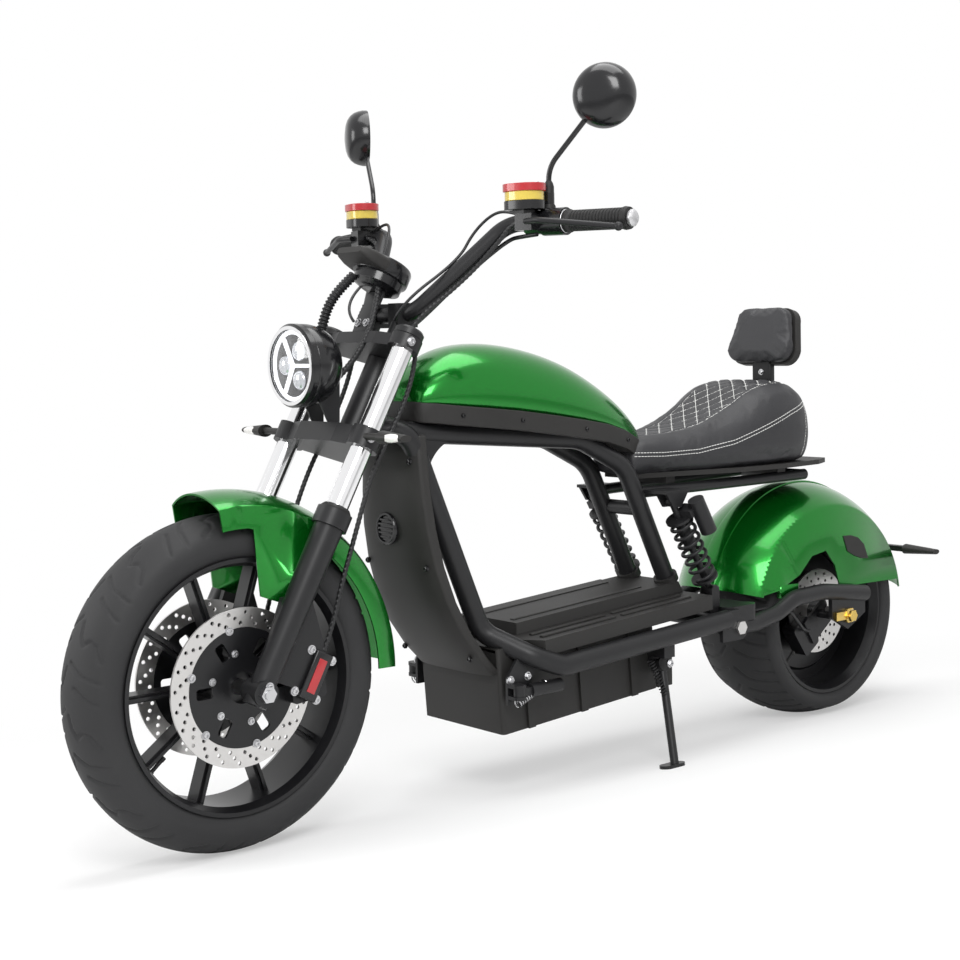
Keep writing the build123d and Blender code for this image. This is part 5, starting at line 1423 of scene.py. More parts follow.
    def reservoirs(self) -> None:
        """Cover the fluid reservoirs with a base, a window band and a red lid."""
        layers = (
            ("reservoir_base", 20.0, 15.0, 72.0, 53.0, GLOSS_BLACK),
            ("fluid_window", 35.0, 15.0, 69.0, 53.0, FLUID_WINDOW),
            ("reservoir_lid", 50.0, 13.0, 76.0, 56.0, RED_LID),
        )
        for name, low, height, length, width, finish in layers:
            made = []
            for side in LEFT_AND_RIGHT:
                spot = self.control()
                spot.y *= side
                along = self.grip_way()
                along.y *= side
                middle = spot + Vector((26.0, 0.0, low + height / 2.0))
                place = STANCE.frame(
                    middle, Vector((0.0, 0.0, 1.0)), Vector((along.x, along.y, 0.0)).normalized()
                )
                made.append(plate(name, [self.slot_outline(length, width)], height, place, 0.0018))
            settle(join(made, name), "fork", "gloss", finish)
        spots = []
        for side in LEFT_AND_RIGHT:
            for along in (-26.0, 26.0):
                spot = self.control() + self.grip_way() * along + Vector((26.0, 0.0, 63.4))
                spot.y *= side
                spots.append((spot, Vector((0.0, 0.0, 1.0))))
        bolts("lid_screws", spots, 3.0, "fork", "bright_steel", ZINC)

    def mirrors(self) -> None:
        """Dome the mirrors' backs and set their glass."""
        shell, glass, necks = [], [], []
        for side in LEFT_AND_RIGHT:
            middle = self.bar_middle + self.mirror_step
            middle.y *= side
            way = Vector((math.cos(self.mirror_yaw), math.sin(self.mirror_yaw) * side, 0.0))
            dome = [
                (0.0, -1.0), (49.0, -1.0), (49.5, -2.4), (53.0, -2.4), (53.4, 0.0), (53.2, 7.0), (51.5, 15.0),
                (48.4, 23.0),
                (43.0, 30.0), (35.0, 35.5), (26.0, 38.6), (13.0, 40.6), (0.0, 41.0),
            ]
            shell.append(lathe("dome", dome, middle, way, steps=64))
            glass.append(
                lathe("glass", [(0.0, -1.1), (48.6, -1.1), (48.6, -2.0), (0.0, -2.0)], middle, way, steps=64)
            )
            foot = self.control() + Vector((-14.0, 17.0, 14.0))
            foot.y *= side
            boot = [
                (0.0, 0.0), (11.0, 0.0), (11.0, 12.0), (8.6, 16.0), (8.6, 44.0), (7.0, 50.0), (4.8, 54.0),
                (0.0, 54.0)
            ]
            necks.append(lathe("boot", boot, foot, Vector((0.0, 0.0, 1.0)), steps=24))
        settle(join(shell, "mirror_shells"), "fork", "gloss", GLOSS_BLACK)
        settle(join(glass, "mirror_glass"), "fork", "gloss", MIRROR_GLASS)
        settle(join(necks, "mirror_boots"), "fork", "gloss", GRIP_RUBBER)

    def hoses(self) -> None:
        """Lay the brake hoses, the cables along the bars and the sleeve to the lamp."""
        port = self.control() + Vector((26.0, -17.0, 0.0))
        corner = self.corner()
        middle = self.bar_middle
        brake = [
            port,
            port + Vector((0.0, -22.0, -5.0)),
            corner + Vector((17.0, 2.0, -26.0)),
            corner + Vector((60.0, -44.0, -92.0)),
            middle + Vector((22.0, 78.0, -20.0)),
            STANCE.fork(-38.0, 90.0, 640.0),
            STANCE.fork(-56.0, 94.0, 560.0),
            STANCE.fork(-52.0, 92.0, 470.0),
            STANCE.fork(-50.0, 94.0, 390.0),
            STANCE.fork(-62.0, 98.0, 300.0),
            STANCE.fork(-74.0, 100.0, 210.0),
            STANCE.fork(-88.0, 100.0, 150.0),
            STANCE.fork(-92.0, 98.0, 106.0),
        ]
        wires = [
            self.control() + Vector((4.0, 6.0, -20.0)),
            self.control() + Vector((8.0, -30.0, -22.0)),
            corner + Vector((-4.0, -4.0, -26.0)),
            corner + Vector((48.0, -52.0, -82.0)),
            middle + Vector((6.0, 70.0, -24.0)),
            middle + Vector((14.0, 34.0, -34.0)),
            STANCE.fork(-14.0, 22.0, 640.0),
        ]
        loop = [
            self.control() + Vector((12.0, -14.0, 10.0)),
            self.control() + Vector((16.0, -50.0, 22.0)),
            corner + Vector((10.0, -26.0, 20.0)),
            corner + Vector((34.0, -52.0, -12.0)),
            corner + Vector((58.0, -62.0, -58.0)),
            middle + Vector((40.0, 88.0, 20.0)),
            middle + Vector((34.0, 60.0, -8.0)),
        ]
        braid = Weave(height=0.4, pitch=9.0, strands=3)
        for name, points, radius, weave in (
            ("brake_hose", brake, 4.0, braid), ("switch_wires", wires, 3.6, Weave()),
            ("throttle_cable", loop, 2.6, Weave()),
        ):
            pair = [cord(name, points, radius, weave), cord(name, mirrored(points), radius, weave)]
            settle(join(pair, name + "s"), "fork", "rubber", CABLE_SKIN)
        sleeve = [
            STANCE.fork(66.0, -20.0, 722.0),
            STANCE.fork(78.0, -24.0, 690.0),
            STANCE.fork(84.0, -27.0, 655.0),
            STANCE.fork(80.0, -27.0, 620.0),
            STANCE.fork(76.0, -22.0, 588.0),
        ]
        settle(
            cord("lamp_sleeve", sleeve, 8.0, Weave(height=1.3, pitch=6.5), sides=20), "fork", "rubber",
            CABLE_SKIN
        )
        loom = [
            STANCE.fork(40.0, 14.0, 530.0),
            STANCE.fork(30.0, 20.0, 560.0),
            STANCE.fork(24.0, 26.0, 600.0),
            STANCE.fork(24.0, 30.0, 640.0),
            STANCE.fork(30.0, 24.0, 690.0),
            STANCE.fork(34.0, 18.0, 716.0),
        ]
        settle(
            cord("lamp_loom", loom, 5.0, Weave(height=0.5, pitch=7.0, strands=2)), "fork", "rubber",
            CABLE_SKIN
        )

    def clamps(self) -> None:
        """Cap the stanchions and set the clamps' pinch bolts and the legs' seals."""
        caps, seals, spots = [], [], []
        for side in LEFT_AND_RIGHT:
            top = STANCE.fork(0.0, 110.0 * side, 634.0)
            cap = [
                (0.0, 0.0), (24.0, 0.0), (25.5, 2.0), (25.5, 11.0), (22.0, 15.0), (12.0, 16.0), (11.0, 13.5),
                (0.0, 13.5)
            ]
            caps.append(lathe("cap", cap, top, STANCE.fork_way(), steps=40))
            seal = [(18.9, 0.0), (26.0, 0.0), (26.0, 3.0), (22.0, 8.0), (18.9, 9.0)]
            seals.append(
                lathe(
                    "seal", seal, STANCE.fork(0.0, 110.0 * side, 315.2), STANCE.fork_way(), steps=40,
                    ring=True
                )
            )
            for up in (445.0, 623.0):
                spots.append((STANCE.fork(8.0, 136.6 * side, up), Vector((0.0, side, 0.0))))
            spots.append((STANCE.fork(0.0, 110.0 * side + 20.0 * side, 12.0), Vector((0.0, side, 0.0))))
        settle(join(caps, "stanchion_caps"), "fork", "frame_black", POWDER_BLACK)
        settle(join(seals, "leg_seals"), "fork", "rubber", GRIP_RUBBER)
        bolts("pinch_bolts", spots, 6.0, "fork", "bright_steel", ZINC)

    def signals(self) -> None:
        """Set the clear faces into the four indicators."""
        front, rear = [], []
        for side in LEFT_AND_RIGHT:
            spot = STANCE.fork(13.5, 210.0 * side, 445.0) + Vector((9.0, 0.0, 0.0))
            lens = [(0.0, 5.5), (4.0, 5.0), (8.0, 3.0), (9.0, 0.0), (9.0, -3.0), (0.0, -3.0)]
            made = lathe("lens", lens, spot, Vector((1.0, 0.0, 0.0)), steps=28)
            self.stretch(made, spot, 2.5)
            front.append(made)
            spot = Vector((-262.0 - 9.0, 140.0 * side, 338.0))
            made = lathe("lens", lens, spot, Vector((-1.0, 0.0, 0.0)), steps=28)
            self.stretch(made, spot, 2.8)
            rear.append(made)
        settle(join(front, "front_signal_lenses"), "fork", "smoked", SIGNAL_LENS)
        settle(join(rear, "rear_signal_lenses"), "chassis", "smoked", SIGNAL_LENS)

    @staticmethod
    def stretch(piece: bpy.types.Object, spot: Vector, share: float) -> None:
        """Stretch a piece sideways about a point.

        Args:
            piece: the piece, already in its place.
            spot: the point in the upright frame.
            share: how many times wider it gets.
        """
        move = STANCE.matrix() @ Matrix.Translation(spot)
        piece.data.transform(move @ Matrix.Diagonal((1.0, share, 0.8, 1.0)) @ move.inverted())

    def build(self) -> None:
        """Make everything about the bars."""
        self.dash()
        self.grips()
        self.reservoirs()
        self.mirrors()
        self.hoses()
        self.clamps()
        self.signals()


@dataclass
class Tank:
    """The painted tank cover and the plastic band under it."""

    stations: tuple[float, ...] = (
        1060.0, 1052.0, 1030.0, 985.0, 930.0, 860.0, 777.0, 700.0, 630.0, 570.0, 520.0, 494.0
    )
    bottoms: tuple[float, ...] = (
        716.0, 714.0, 712.0, 706.0, 700.0, 692.0, 680.0, 668.0, 656.0, 640.0, 622.0, 614.0
    )
    tops: tuple[float, ...] = (
        736.0, 756.0, 780.0, 807.0, 819.0, 818.0, 803.0, 778.0, 742.0, 704.0, 664.0, 638.0
    )
    halves: tuple[float, ...] = (44.0, 58.0, 70.0, 85.0, 94.0, 98.0, 98.0, 93.0, 82.0, 68.0, 46.0, 26.0)
    band: float = 30.0

    def ring(self, x: float, low: float, high: float, half: float) -> list[Vector]:
        """Draw one cut across the tank, full at its shoulders and flat below.

        Args:
            x: where the cut stands.
            low: the height of its bottom.
            high: the height of its top.
            half: half its width.

        Returns:
            The cut's points in the upright frame.
        """
        points = []
        for number in range(33):
            turn = math.pi * number / 32.0
            across = half * math.copysign(abs(math.cos(turn)) ** 0.86, math.cos(turn))
            up = low + (high - low) * (0.16 + 0.84 * math.sin(turn) ** 0.92)
            points.append(Vector((x, across, up)))
        for share in (-0.97, -0.5, 0.0, 0.5, 0.97):
            points.append(Vector((x, half * share, low)))
        return points

    def build(self) -> None:
        """Skin the tank and its band."""
        rows = zip(self.stations, self.bottoms, self.tops, self.halves)
        shell = skin("tank_shell", [self.ring(*row) for row in rows])
        apply_modifier(shell, "SUBSURF", levels=2, render_levels=2)
        tidy_mesh(shell, smooth=math.radians(60.0))
        settle(shell, "chassis", "green", GREEN_PAINT, "tank_cover")
        rings = []
        for x, low, half in zip(self.stations, self.bottoms, self.halves):
            grown = half + 1.6
            high = low + 5.0
            base = low - self.band
            rings.append([
                Vector((x, grown, base)), Vector((x, grown + 1.0, base + 4.0)),
                Vector((x, grown + 0.6, high - 2.0)),
                Vector((x, grown - 1.0, high)), Vector((x, 1.0 - grown, high)),
                Vector((x, -grown - 0.6, high - 2.0)),
                Vector((x, -grown - 1.0, base + 4.0)), Vector((x, -grown, base)),
            ])
        band = skin("tank_band", rings)
        apply_modifier(
            band, "BEVEL", width=0.0015, segments=2, limit_method="ANGLE", angle_limit=math.radians(40.0)
        )
        tidy_mesh(band)
        settle(band, "chassis", "plastic", MOULDED, "tank_trim")
        spots = []
        for index in (3, 5, 7, 9):
            for side in LEFT_AND_RIGHT:
                spot = Vector(
                    (self.stations[index], (self.halves[index] + 2.6) * side, self.bottoms[index] - 12.0)
                )
                spots.append((spot, Vector((0.0, side, 0.0))))
        bolts("tank_screws", spots, 3.4, "chassis", "plastic", GLOSS_BLACK)


@dataclass
class Shield:
    """The leg shield with its horn grille and screws."""

    front: tuple[tuple[float, float, float], ...] = (
        (1092.0, 664.0, 76.0), (1096.0, 620.0, 84.0), (1095.0, 560.0, 90.0), (1090.0, 500.0, 96.0),
        (1078.0, 435.0, 101.0),
        (1058.0, 372.0, 106.0), (1030.0, 316.0, 109.0), (994.0, 266.0, 110.0), (962.0, 232.0, 108.0),
    )
    depth: float = 34.0

    def build(self) -> None:
        """Skin the shield and set its horn and screws."""
        rings = []
        for x, z, half in self.front:
            ring = []
            for number in range(17):
                share = number / 8.0 - 1.0
                ring.append(Vector((x - 16.0 * abs(share) ** 4.0, half * share, z)))
            ring += [Vector((x - self.depth, half, z)), Vector((x - self.depth, -half, z))]
            rings.append(ring)
        piece = skin("shield_skin", rings)
        apply_modifier(
            piece, "BEVEL", width=0.004, segments=3, limit_method="ANGLE", angle_limit=math.radians(50.0)
        )
        tidy_mesh(piece)
        settle(piece, "chassis", "plastic", MOULDED, "leg_shield")
        way = Vector((0.998, 0.0, 0.06))
        spot = Vector((1092.0, 0.0, 500.0))
        rim = [(0.0, -4.0), (29.0, -4.0), (29.0, 2.0), (27.0, 5.0), (23.5, 5.0), (22.0, 1.0), (0.0, 1.0)]
        settle(lathe("horn_rim", rim, spot, way, steps=48), "chassis", "gloss", GLOSS_BLACK, "horn")
        bars = []
        for number in range(-2, 3):
            half = math.sqrt(22.0**2 - (number * 7.6) ** 2)
            place = STANCE.frame(spot + Vector((3.0, 0.0, number * 7.6)), way)
            bars.append(block("bar", (half * 2.0, 3.4, 3.0), place, 0.0008))
        settle(join(bars, "horn_bars"), "chassis", "gloss", GLOSS_BLACK)
        spots = []
        for x, z, half in (self.front[1], self.front[4], self.front[7]):
            for side in LEFT_AND_RIGHT:
                spots.append((Vector((x - 4.0, (half - 16.0) * side, z)), way))
        bolts("shield_screws", spots, 4.2, "chassis", "gloss", GLOSS_BLACK)


@dataclass
class Fenders:
    """Both painted fenders, trimmed to the real lips, with the rear one's strip and vents."""

    front_lip: float = math.radians(82.0)
    front_tail: float = math.radians(181.0)
    rear_middle: Vector = field(default_factory=lambda: Vector((20.0, 0.0, 226.1)))
    rear_radius: float = 279.0
    rear_half: float = 118.0
    rear_drop: float = 18.0

    def front(self) -> None:
        """Trim the front fender."""
        piece = copy_node("front_fender", "front_fender_shell")
        lip, tail = self.front_lip, self.front_tail
        cut_away(piece, STANCE.front_axle(), Vector((math.sin(lip), 0.0, -math.cos(lip))))
        cut_away(piece, STANCE.front_axle(), Vector((-math.sin(tail), 0.0, math.cos(tail))))
        tidy_mesh(piece)
        settle(piece, "fork", "green", GREEN_PAINT, "front_fender")
        spots = [
            (STANCE.fork(-14.0, 74.0 * side, 236.0), Vector((0.0, side, 0.0)))
            for side in LEFT_AND_RIGHT
        ]
        spots += [
            (STANCE.fork(-34.0, 76.0 * side, 196.0), Vector((0.0, side, 0.0)))
            for side in LEFT_AND_RIGHT
        ]
        bolts("fender_bolts", spots, 5.0, "fork", "bright_steel", ZINC)

    def crown(self, across: float) -> float:
        """Read the rear fender's outer radius.

        Args:
            across: the distance from its middle plane.

        Returns:
            The radius in millimetres.
        """
        return self.rear_radius - (29.0 + self.rear_drop) * (across / self.rear_half) ** 2

    def rear(self) -> None:
        """Round the rear fender's crown, then add its strip and its two vents."""
        piece = copy_node("rear_fender", "rear_fender_shell")
        back = STANCE.matrix().inverted()
        for vertex in piece.data.vertices:
            spot = back @ vertex.co - self.rear_middle
            reach = math.hypot(spot.x, spot.z)
            share = min(1.0, max(0.0, (reach - 200.0) / 50.0))
            shrink = (
                reach - self.rear_drop * share * min(1.0, abs(spot.y) / self.rear_half) ** 2
            ) / max(reach, 1.0)
            moved = Vector((spot.x * shrink, spot.y, spot.z * shrink)) + self.rear_middle
            vertex.co = STANCE.matrix() @ moved
        tidy_mesh(piece)
        settle(piece, "chassis", "green", GREEN_PAINT, "rear_fender")
        rings = []
        for number in range(73):
            turn = math.radians(17.0 + 153.0 * number / 72.0)
            out = Vector((math.cos(turn), 0.0, math.sin(turn)))
            ring = []
            for across, lift in (
                (-22.0, -1.0), (-21.5, 2.2), (-18.0, 3.0), (0.0, 3.4), (18.0, 3.0), (21.5, 2.2), (22.0, -1.0),
                (0.0, -1.0)
            ):
                ring.append(self.rear_middle + out * (self.crown(across) + lift) + Vector((0.0, across, 0.0)))
            rings.append(ring)
        settle(skin("fender_strip", rings), "chassis", "green", GREEN_PAINT)
        vents = []
        leaf = [
            (-14.0, 392.0), (-40.0, 391.0), (-64.0, 384.0), (-84.0, 368.0), (-99.0, 336.0), (-78.0, 338.0),
            (-52.0, 346.0), (-28.0, 358.0)
        ]
        for side in LEFT_AND_RIGHT:
            place = STANCE.frame(Vector((0.0, (self.rear_half + 0.6) * side, 0.0)), Vector((0.0, -1.0, 0.0)))
            vents.append(plate("vent", [leaf], 2.0, place, 0.0006))
        settle(join(vents, "fender_vents"), "chassis", "plastic", MOULDED)

    def build(self) -> None:
        """Make both fenders."""
        self.front()
        self.rear()


@dataclass
class Saddle:
    """The stuffed saddle, with its quilted panel and white stitching."""

    top: tuple[tuple[float, float], ...] = (
        (548.0, 598.0), (540.0, 612.0), (520.0, 624.0), (480.0, 628.0), (440.0, 630.0), (400.0, 635.0),
        (354.0, 645.0),
        (310.0, 664.0), (270.0, 684.0), (240.0, 702.0), (212.0, 716.0), (185.0, 723.0), (160.0, 725.0),
        (130.0, 722.0),
        (108.0, 712.0), (88.0, 696.0), (72.0, 668.0), (66.0, 640.0),
    )
    widths: tuple[tuple[float, float], ...] = (
        (548.0, 60.0), (500.0, 78.0), (430.0, 94.0), (350.0, 116.0), (290.0, 130.0), (200.0, 138.0),
        (140.0, 134.0),
        (100.0, 122.0), (78.0, 108.0), (66.0, 96.0),
    )
    quilt: tuple[tuple[float, float], ...] = (
        (500.0, 22.0), (440.0, 40.0), (350.0, 54.0), (260.0, 68.0), (180.0, 82.0), (110.0, 84.0)
    )
    seam: tuple[tuple[float, float], ...] = (
        (542.0, 600.0), (480.0, 598.0), (400.0, 600.0), (320.0, 614.0), (240.0, 640.0), (170.0, 664.0),
        (104.0, 682.0)
    )
    base: float = 559.0
    diamond: float = 36.0
    voxel: float = 0.005
    cap: float = 0.006
    frames: int = 14

    @staticmethod
    def read(line: tuple[tuple[float, float], ...], x: float) -> float:
        """Read a line's value between its points.

        Args:
            line: pairs of x and value.
            x: where it is read.

        Returns:
            The value.
        """
        ordered = sorted(line)
        return float(np.interp(x, [point[0] for point in ordered], [point[1] for point in ordered]))

    def shell(self) -> bpy.types.Object:
        """Make the saddle's closed shell with an even mesh.

        Returns:
            The shell in its place.
        """
        rings = []
        for x, high in self.top:
            half = self.read(self.widths, x) - 3.0
            rise = high - self.base
            dish = 5.0 * min(1.0, max(0.0, (x - 200.0) / 100.0))
            cut = (
                (0.0, 1.0, -dish), (0.4, 1.0, -dish * 0.5), (0.7, 0.97, 0.0), (0.88, 0.87, 0.0),
                (0.97, 0.68, 0.0),
                (1.0, 0.45, 0.0), (0.96, 0.2, 0.0), (0.88, 0.04, 0.0), (0.8, 0.0, 0.0),
            )
            right = [Vector((x, half * share, self.base + rise * up + drop)) for share, up, drop in cut]
            left = [Vector((x, -point.y, point.z)) for point in reversed(right[1:])]
            rings.append(right + left)
        piece = skin("saddle", rings)
        apply_modifier(piece, "REMESH", mode="VOXEL", voxel_size=self.voxel)
        apply_modifier(piece, "SMOOTH", factor=0.5, iterations=10)
        return piece

    def puff(self, piece: bpy.types.Object) -> None:
        """Blow the shell up like stuffed leather, by no more than the cap.

        Args:
            piece: the shell.
        """
        before = [point.co.copy() for point in piece.data.vertices]
        cloth = piece.modifiers.new("Cloth", "CLOTH")
        cloth.settings.use_pressure = True
        cloth.settings.uniform_pressure_force = 4.0
        cloth.settings.effector_weights.gravity = 0.0
        cloth.settings.quality = 4
        cloth.point_cache.frame_start = 1
        cloth.point_cache.frame_end = self.frames
        for frame in range(1, self.frames + 1):
            bpy.context.scene.frame_set(frame)
        pick(piece)
        bpy.ops.object.modifier_apply(modifier=cloth.name)
        bpy.context.scene.frame_set(1)
        for point, start in zip(piece.data.vertices, before):
            move = point.co - start
            if move.length > self.cap:
                point.co = start + move.normalized() * self.cap

    def stitch_quilt(self, piece: bpy.types.Object) -> None:
        """Press the diamonds of the quilted panel into the saddle's top.

        Args:
            piece: the stuffed saddle.
        """
        apply_modifier(piece, "SUBSURF", levels=1, render_levels=1)
        back = STANCE.matrix().inverted()
        up = STANCE.tilt().to_3x3() @ Vector((0.0, 0.0, 1.0))
        normals = [vertex.normal.copy() for vertex in piece.data.vertices]
        for vertex, normal in zip(piece.data.vertices, normals):
            spot = back @ vertex.co
            if normal.dot(up) < 0.3 or not 112.0 < spot.x < 500.0:
                continue
            edge = self.read(self.quilt, spot.x)
            if abs(spot.y) > edge + 6.0:
                continue
            rim = abs(abs(spot.y) - edge)
            first = abs((spot.x + spot.y) / self.diamond % 1.0 - 0.5) * self.diamond / math.sqrt(2.0)
            second = abs((spot.x - spot.y) / self.diamond % 1.0 - 0.5) * self.diamond / math.sqrt(2.0)
            inside = abs(spot.y) < edge
            reach = min(first, second) if inside else rim
            groove = 2.6 * math.exp(-((min(reach, rim) / 3.2) ** 2))
            lift = 1.2 if inside else 0.0
            vertex.co += normal * (lift - groove) * MM
        piece.data.update()

    def build(self) -> None:
        """Make the saddle, then sew its stitches onto it."""
        piece = self.shell()
        self.puff(piece)
        self.stitch_quilt(piece)
        tidy_mesh(piece, smooth=math.radians(70.0))
        settle(piece, "chassis", "seat", SEAT_LEATHER, "seat_pad")
        self.stitches(piece)

    def stitches(self, saddle: bpy.types.Object) -> None:
        """Sew the white stitches along the quilt and the seams.

        Args:
            saddle: the finished saddle, which the stitches lie on.
        """
        back = STANCE.matrix().inverted()
        points = [back @ vertex.co for vertex in saddle.data.vertices]
        tree = BVHTree.FromPolygons(points, [tuple(face.vertices) for face in saddle.data.polygons])
        down = Vector((0.0, 0.0, -1.0))
        runs = []
        for sign in LEFT_AND_RIGHT:
            for number in range(-2, 24):
                run = []
                for step in range(-60, 61):
                    y = step * 1.5
                    x = (number + 0.5) * self.diamond - sign * y
                    if 114.0 < x < 500.0 and abs(y) < self.read(self.quilt, x) - 1.0:
                        run.append((Vector((x, y, 900.0)), down))
                runs.append(run)
            border = [
                (Vector((x, self.read(self.quilt, x) * sign, 900.0)), down)
                for x in np.arange(112.0, 500.0, 2.0)
            ]
            runs.append(border)
            for drop in (0.0, 7.0):
                level = [
                    (Vector((x, 300.0 * sign, self.read(self.seam, x) - drop)), Vector((0.0, -sign, 0.0)))
                    for x in np.arange(100.0, 542.0, 2.0)
                ]
                runs.append(level)
            rear = [
                (Vector((104.0, 300.0 * sign, z)), Vector((0.0, -sign, 0.0)))
                for z in np.arange(570.0, 682.0, 2.0)
            ]
            runs.append(rear)
        cells, faces = [], []
        for run in runs:
            hits = []
            for start, way in run:
                spot, normal, _, _ = tree.ray_cast(start, way)
                if spot is not None:
                    hits.append((spot, normal))
            self.sew(hits, cells, faces)
        mesh = bpy.data.meshes.new("saddle_stitches")
        mesh.from_pydata(cells, [], faces)
        mesh.transform(STANCE.matrix())
        piece = new_object("saddle_stitches", mesh)
        tidy_mesh(piece, merge=0.000001)
        settle(piece, "chassis", "seat", THREAD)

    @staticmethod
    def sew(hits: list[tuple[Vector, Vector]], cells: list[Vector], faces: list[tuple[int, ...]]) -> None:
        """Add one stitch for each few millimetres of a run.

        Args:
            hits: the run's points on the leather with their normals.
            cells: the stitches' points, which grows.
            faces: the stitches' faces, which grows.
        """
        travelled = 0.0
        start = None
        for (before, _), (after, normal) in zip(hits, hits[1:]):
            step = (after - before).length
            if step > 12.0:
                start = None
                continue
            travelled += step
            if start is None:
                start = before
                travelled = 0.0
            if travelled >= 5.0:
                way = (after - start).normalized()
                side = way.cross(normal).normalized() * 0.65
                lift = normal * 0.5
                first = len(cells)
                head, tail = start + way * 0.8, after - way * 0.8
                for spot in (head, tail):
                    cells += [spot + side - lift, spot + side + lift, spot - side + lift, spot - side - lift]
                a, b = first, first + 4
                faces += [(a, a + 1, a + 2, a + 3), (b + 3, b + 2, b + 1, b)]
                faces += [(a + n, b + n, b + (n + 1) % 4, a + (n + 1) % 4) for n in range(4)]
                start = after
                travelled = 0.0


@dataclass
class Backrest:
    """The stuffed pad of the backrest with its rear shell and bracket."""

    centre: Vector = field(default_factory=lambda: Vector((96.0, 0.0, 818.0)))
    tilt: float = math.radians(14.0)

    def outline(self, low: float, high: float, tall: float, corner: float) -> list[tuple[float, float]]:
        """Draw a rounded outline, wider below than above.

        Args:
            low: half its width at the bottom.
            high: half its width at the top.
            tall: half its height.
            corner: the radius of its corners.

        Returns:
            The outline's points.
        """
        points = []
        for across, up, start in (
            (high, tall, 0.0), (-high, tall, 90.0), (-low, -tall, 180.0), (low, -tall, 270.0)
        ):
            middle = (across - math.copysign(corner, across), up - math.copysign(corner, up))
            for step in range(9):
                turn = math.radians(start + 11.25 * step)
                points.append((middle[0] + corner * math.cos(turn), middle[1] + corner * math.sin(turn)))
        return points

    def build(self) -> None:
        """Make the pad, its shell and the bracket below."""
        way = Vector((math.cos(self.tilt), 0.0, math.sin(self.tilt)))
        front = plate(
            "backrest_cushion", [self.outline(84.0, 72.0, 58.0, 30.0)], 26.0,
            STANCE.frame(self.centre + way * 6.0, way)
        )
        apply_modifier(front, "REMESH", mode="VOXEL", voxel_size=0.004)
        apply_modifier(front, "SMOOTH", factor=0.5, iterations=16)
        Saddle(cap=0.006).puff(front)
        apply_modifier(front, "SUBSURF", levels=1, render_levels=1)
        tidy_mesh(front, smooth=math.radians(70.0))
        settle(front, "chassis", "seat", SEAT_LEATHER, "backrest_pad")
        rear = plate(
            "backrest_shell", [
                self.outline(86.0, 74.0, 60.0, 31.0)
            ], 18.0, STANCE.frame(self.centre - way * 15.0, way), 0.006
        )
        settle(rear, "chassis", "plastic", MOULDED)
        cover = block(
            "strut_cover", (50.0, 14.0, 46.0),
            STANCE.frame(Vector((99.0, 0.0, 738.0)), Vector((0.0, 0.0, 1.0)), Vector((1.0, 0.0, 0.0))), 0.002
        )
        settle(cover, "chassis", "frame_black", POWDER_BLACK)
        bolts(
            "strut_bolt", [(Vector((106.0, 0.0, 742.0)), Vector((1.0, 0.0, 0.0)))], 5.0, "chassis",
            "bright_steel", ZINC
        )


@dataclass
class DeckTrim:
    """Grooves, ribs, bolts and springs about the deck, the box and the stand."""

    def build(self) -> None:
        """Set the deck's ribs, the lid's grooves, the bolts and the springs."""
        ribs = []
        for side in LEFT_AND_RIGHT:
            for middle in (-140.0, -342.0):
                for across in (104.0, 132.0):
                    place = STANCE.frame(
                        STANCE.deck(middle, across * side, 47.0),
                        Vector((math.sin(STANCE.slope), 0.0, math.cos(STANCE.slope))), Vector((0.0, 1.0, 0.0))
                    )
                    ribs.append(block("rib", (184.0, 10.0, 5.0), place, 0.0018))
        settle(join(ribs, "deck_ribs"), "chassis", "plastic", MOULDED)
        lines = []
        for across in (-46.0, 46.0):
            place = STANCE.frame(
                STANCE.deck(-220.0, across, 66.6),
                Vector((math.sin(STANCE.slope), 0.0, math.cos(STANCE.slope))), Vector((0.0, 1.0, 0.0))
            )
            lines.append(block("line", (330.0, 12.0, 3.0), place, 0.0012))
        settle(join(lines, "lid_ribs"), "chassis", "plastic", MOULDED)
        down = Vector((0.0, 1.0, 0.0))
        spots = [
            (
                Vector((925.0 + dx, (152.0 - 24.0 + 6.4) * side, 206.0 + dz)), down * side
            ) for side in LEFT_AND_RIGHT for dx,
            dz in ((6.0, 20.0), (-34.0, 22.0))
        ]
        spots.append((Vector((556.0, 160.0, 206.0)), down))
        spots += [(Vector((362.0, 164.5 * side, 250.0)), down * side) for side in LEFT_AND_RIGHT]
        bolts("frame_bolts", spots, 6.0, "chassis", "bright_steel", ZINC)
        for name, start, end, radius, turns in (
            ("peg_spring_left", Vector((930.0, 150.0, 186.0)), Vector((862.0, 150.0, 214.0)), 7.0, 14),
            ("peg_spring_right", Vector((930.0, -150.0, 186.0)), Vector((862.0, -150.0, 214.0)), 7.0, 14),
            ("stand_spring", Vector((590.0, 142.0, 214.0)), Vector((572.0, 160.0, 150.0)), 6.0, 12),
        ):
            settle(
                self.spring(name, start, end, radius, turns), "chassis", "bright_steel",
                ZINC if "peg" in name else POWDER_BLACK
            )

    @staticmethod
    def spring(name: str, start: Vector, end: Vector, radius: float, turns: int) -> bpy.types.Object:
        """Wind a small pull spring between two points.

        Args:
            name: the piece's name.
            start: one end in the upright frame.
            end: the other end.
            radius: the coil's radius.
            turns: how many turns it has.

        Returns:
            The spring.
        """
        way = (end - start).normalized()
        side = way.cross(Vector((0.0, 1.0, 0.0))).normalized()
        other = way.cross(side)
        points = []
        for number in range(turns * 10 + 1):
            turn = math.tau * number / 10.0
            points.append(
                start.lerp(
                    end, number / (turns * 10.0)
                ) + side * radius * math.cos(turn) + other * radius * math.sin(turn)
            )
        return cord(name, points, 1.4, sides=6)


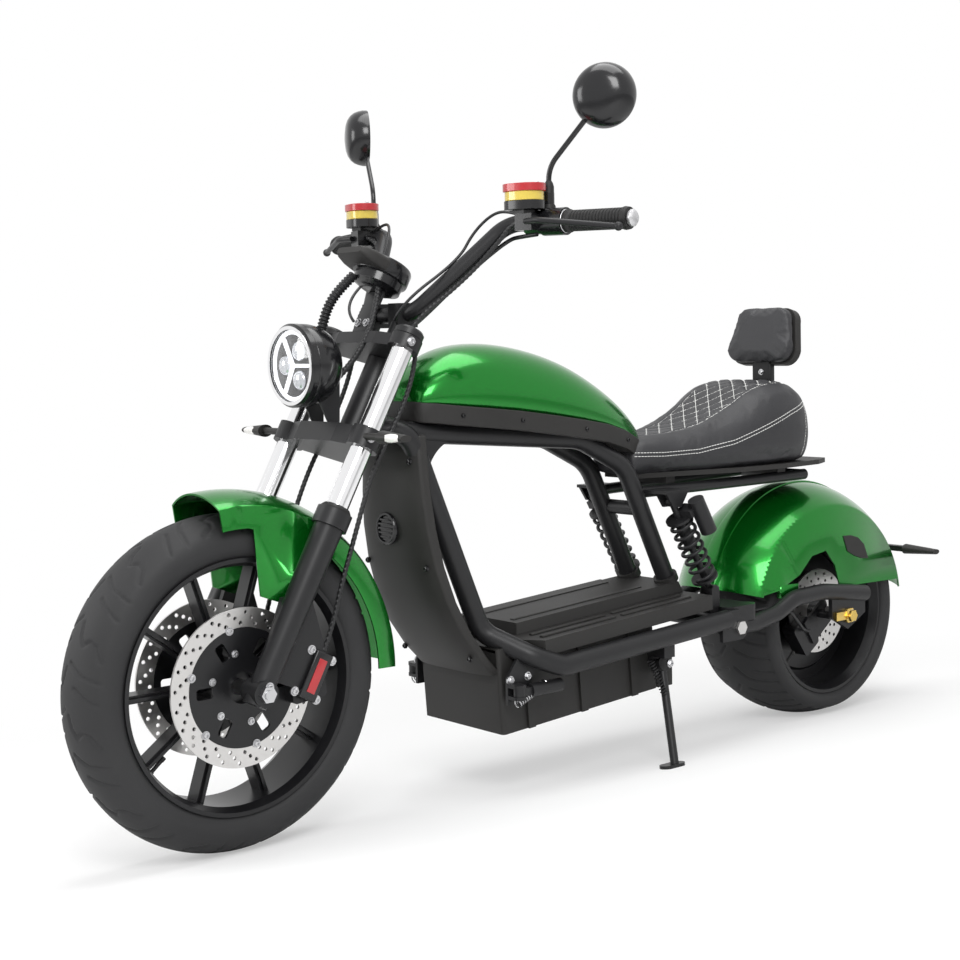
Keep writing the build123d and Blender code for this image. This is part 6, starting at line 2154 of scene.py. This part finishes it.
@dataclass
class RearTrim:
    """The chain adjusters, axle caps and the rear brake hose."""

    def build(self) -> None:
        """Set the gold adjusters, the hose and the valve stems."""
        gold = []
        for side in LEFT_AND_RIGHT:
            way = Vector((0.0, side, 0.0))
            nut = [(0.0, 0.0), (17.0, 0.0), (17.0, 6.0), (13.0, 8.0), (13.0, 15.0), (10.0, 17.0), (0.0, 17.0)]
            gold.append(lathe("nut", nut, Vector((0.0, 142.5 * side, 227.1)), way, steps=6))
            gold.append(
                block(
                    "slider", (34.0, 18.0, 10.0), STANCE.frame(Vector((30.0, 146.0 * side, 229.0)), way),
                    0.0012
                )
            )
        settle(join(gold, "axle_adjusters"), "chassis", "bright_steel", GOLD)
        hose = [
            Vector((66.0, 92.0, 196.0)), Vector((96.0, 104.0, 200.0)), Vector((128.0, 116.0, 224.0)),
            Vector((176.0, 126.0, 262.0)),
            Vector((236.0, 118.0, 268.0)), Vector((300.0, 112.0, 262.0)),
        ]
        settle(cord("rear_brake_hose", hose, 3.6), "chassis", "rubber", CABLE_SKIN)
        stem = [
            (0.0, -4.0), (5.0, -4.0), (5.0, 6.0), (3.4, 10.0), (3.4, 30.0), (4.2, 31.0), (4.2, 38.0),
            (0.0, 38.0)
        ]
        for wheel, centre, radius in (
            ("front_wheel", STANCE.front_axle(), 195.0), ("rear_wheel", STANCE.rear_axle(), 156.0)
        ):
            turn = math.radians(-40.0)
            out = Vector((math.cos(turn), 0.0, math.sin(turn)))
            spot = centre + out * radius + Vector((0.0, 12.0 if wheel == "front_wheel" else 70.0, 0.0))
            settle(lathe(wheel + "_valve", stem, spot, -out, steps=16), wheel, "rubber", GRIP_RUBBER)


def main() -> None:
    """Build the studio, dress the solids and add each sub-assembly's parts."""
    logging.basicConfig(level=logging.INFO, format="%(name)s: %(message)s")
    Studio().build()
    Coverings().build()
    Tyre(
        "front_tyre", "front_wheel", STANCE.front_axle(

        ), 277.5, 64.0, 82.0, 57.0, 205.3, 54.0, 209.3, 12, FRONT_TREAD
    ).build()
    Tyre(
        "rear_tyre", "rear_wheel", STANCE.rear_axle(), 226.0, 104.5, 200.0, 88.0, 168.3, 89.0, 172.3, 14,
        REAR_TREAD,
        steps=560, row=3.0,
    ).build()
    for part in (
        Brakes(), Headlight(), Cockpit(), Tank(), Shield(), Fenders(), Saddle(), Backrest(), DeckTrim(),
        RearTrim()
    ):
        part.build()


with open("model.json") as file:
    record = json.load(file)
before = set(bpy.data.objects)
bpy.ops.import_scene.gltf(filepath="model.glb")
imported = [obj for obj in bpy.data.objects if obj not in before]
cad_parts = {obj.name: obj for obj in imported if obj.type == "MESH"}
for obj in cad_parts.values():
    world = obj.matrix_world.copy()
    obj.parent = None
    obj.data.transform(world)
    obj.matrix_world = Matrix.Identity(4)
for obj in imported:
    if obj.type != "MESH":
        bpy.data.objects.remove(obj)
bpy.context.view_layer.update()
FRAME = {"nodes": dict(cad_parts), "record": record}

if __name__ == "__main__":
    main()
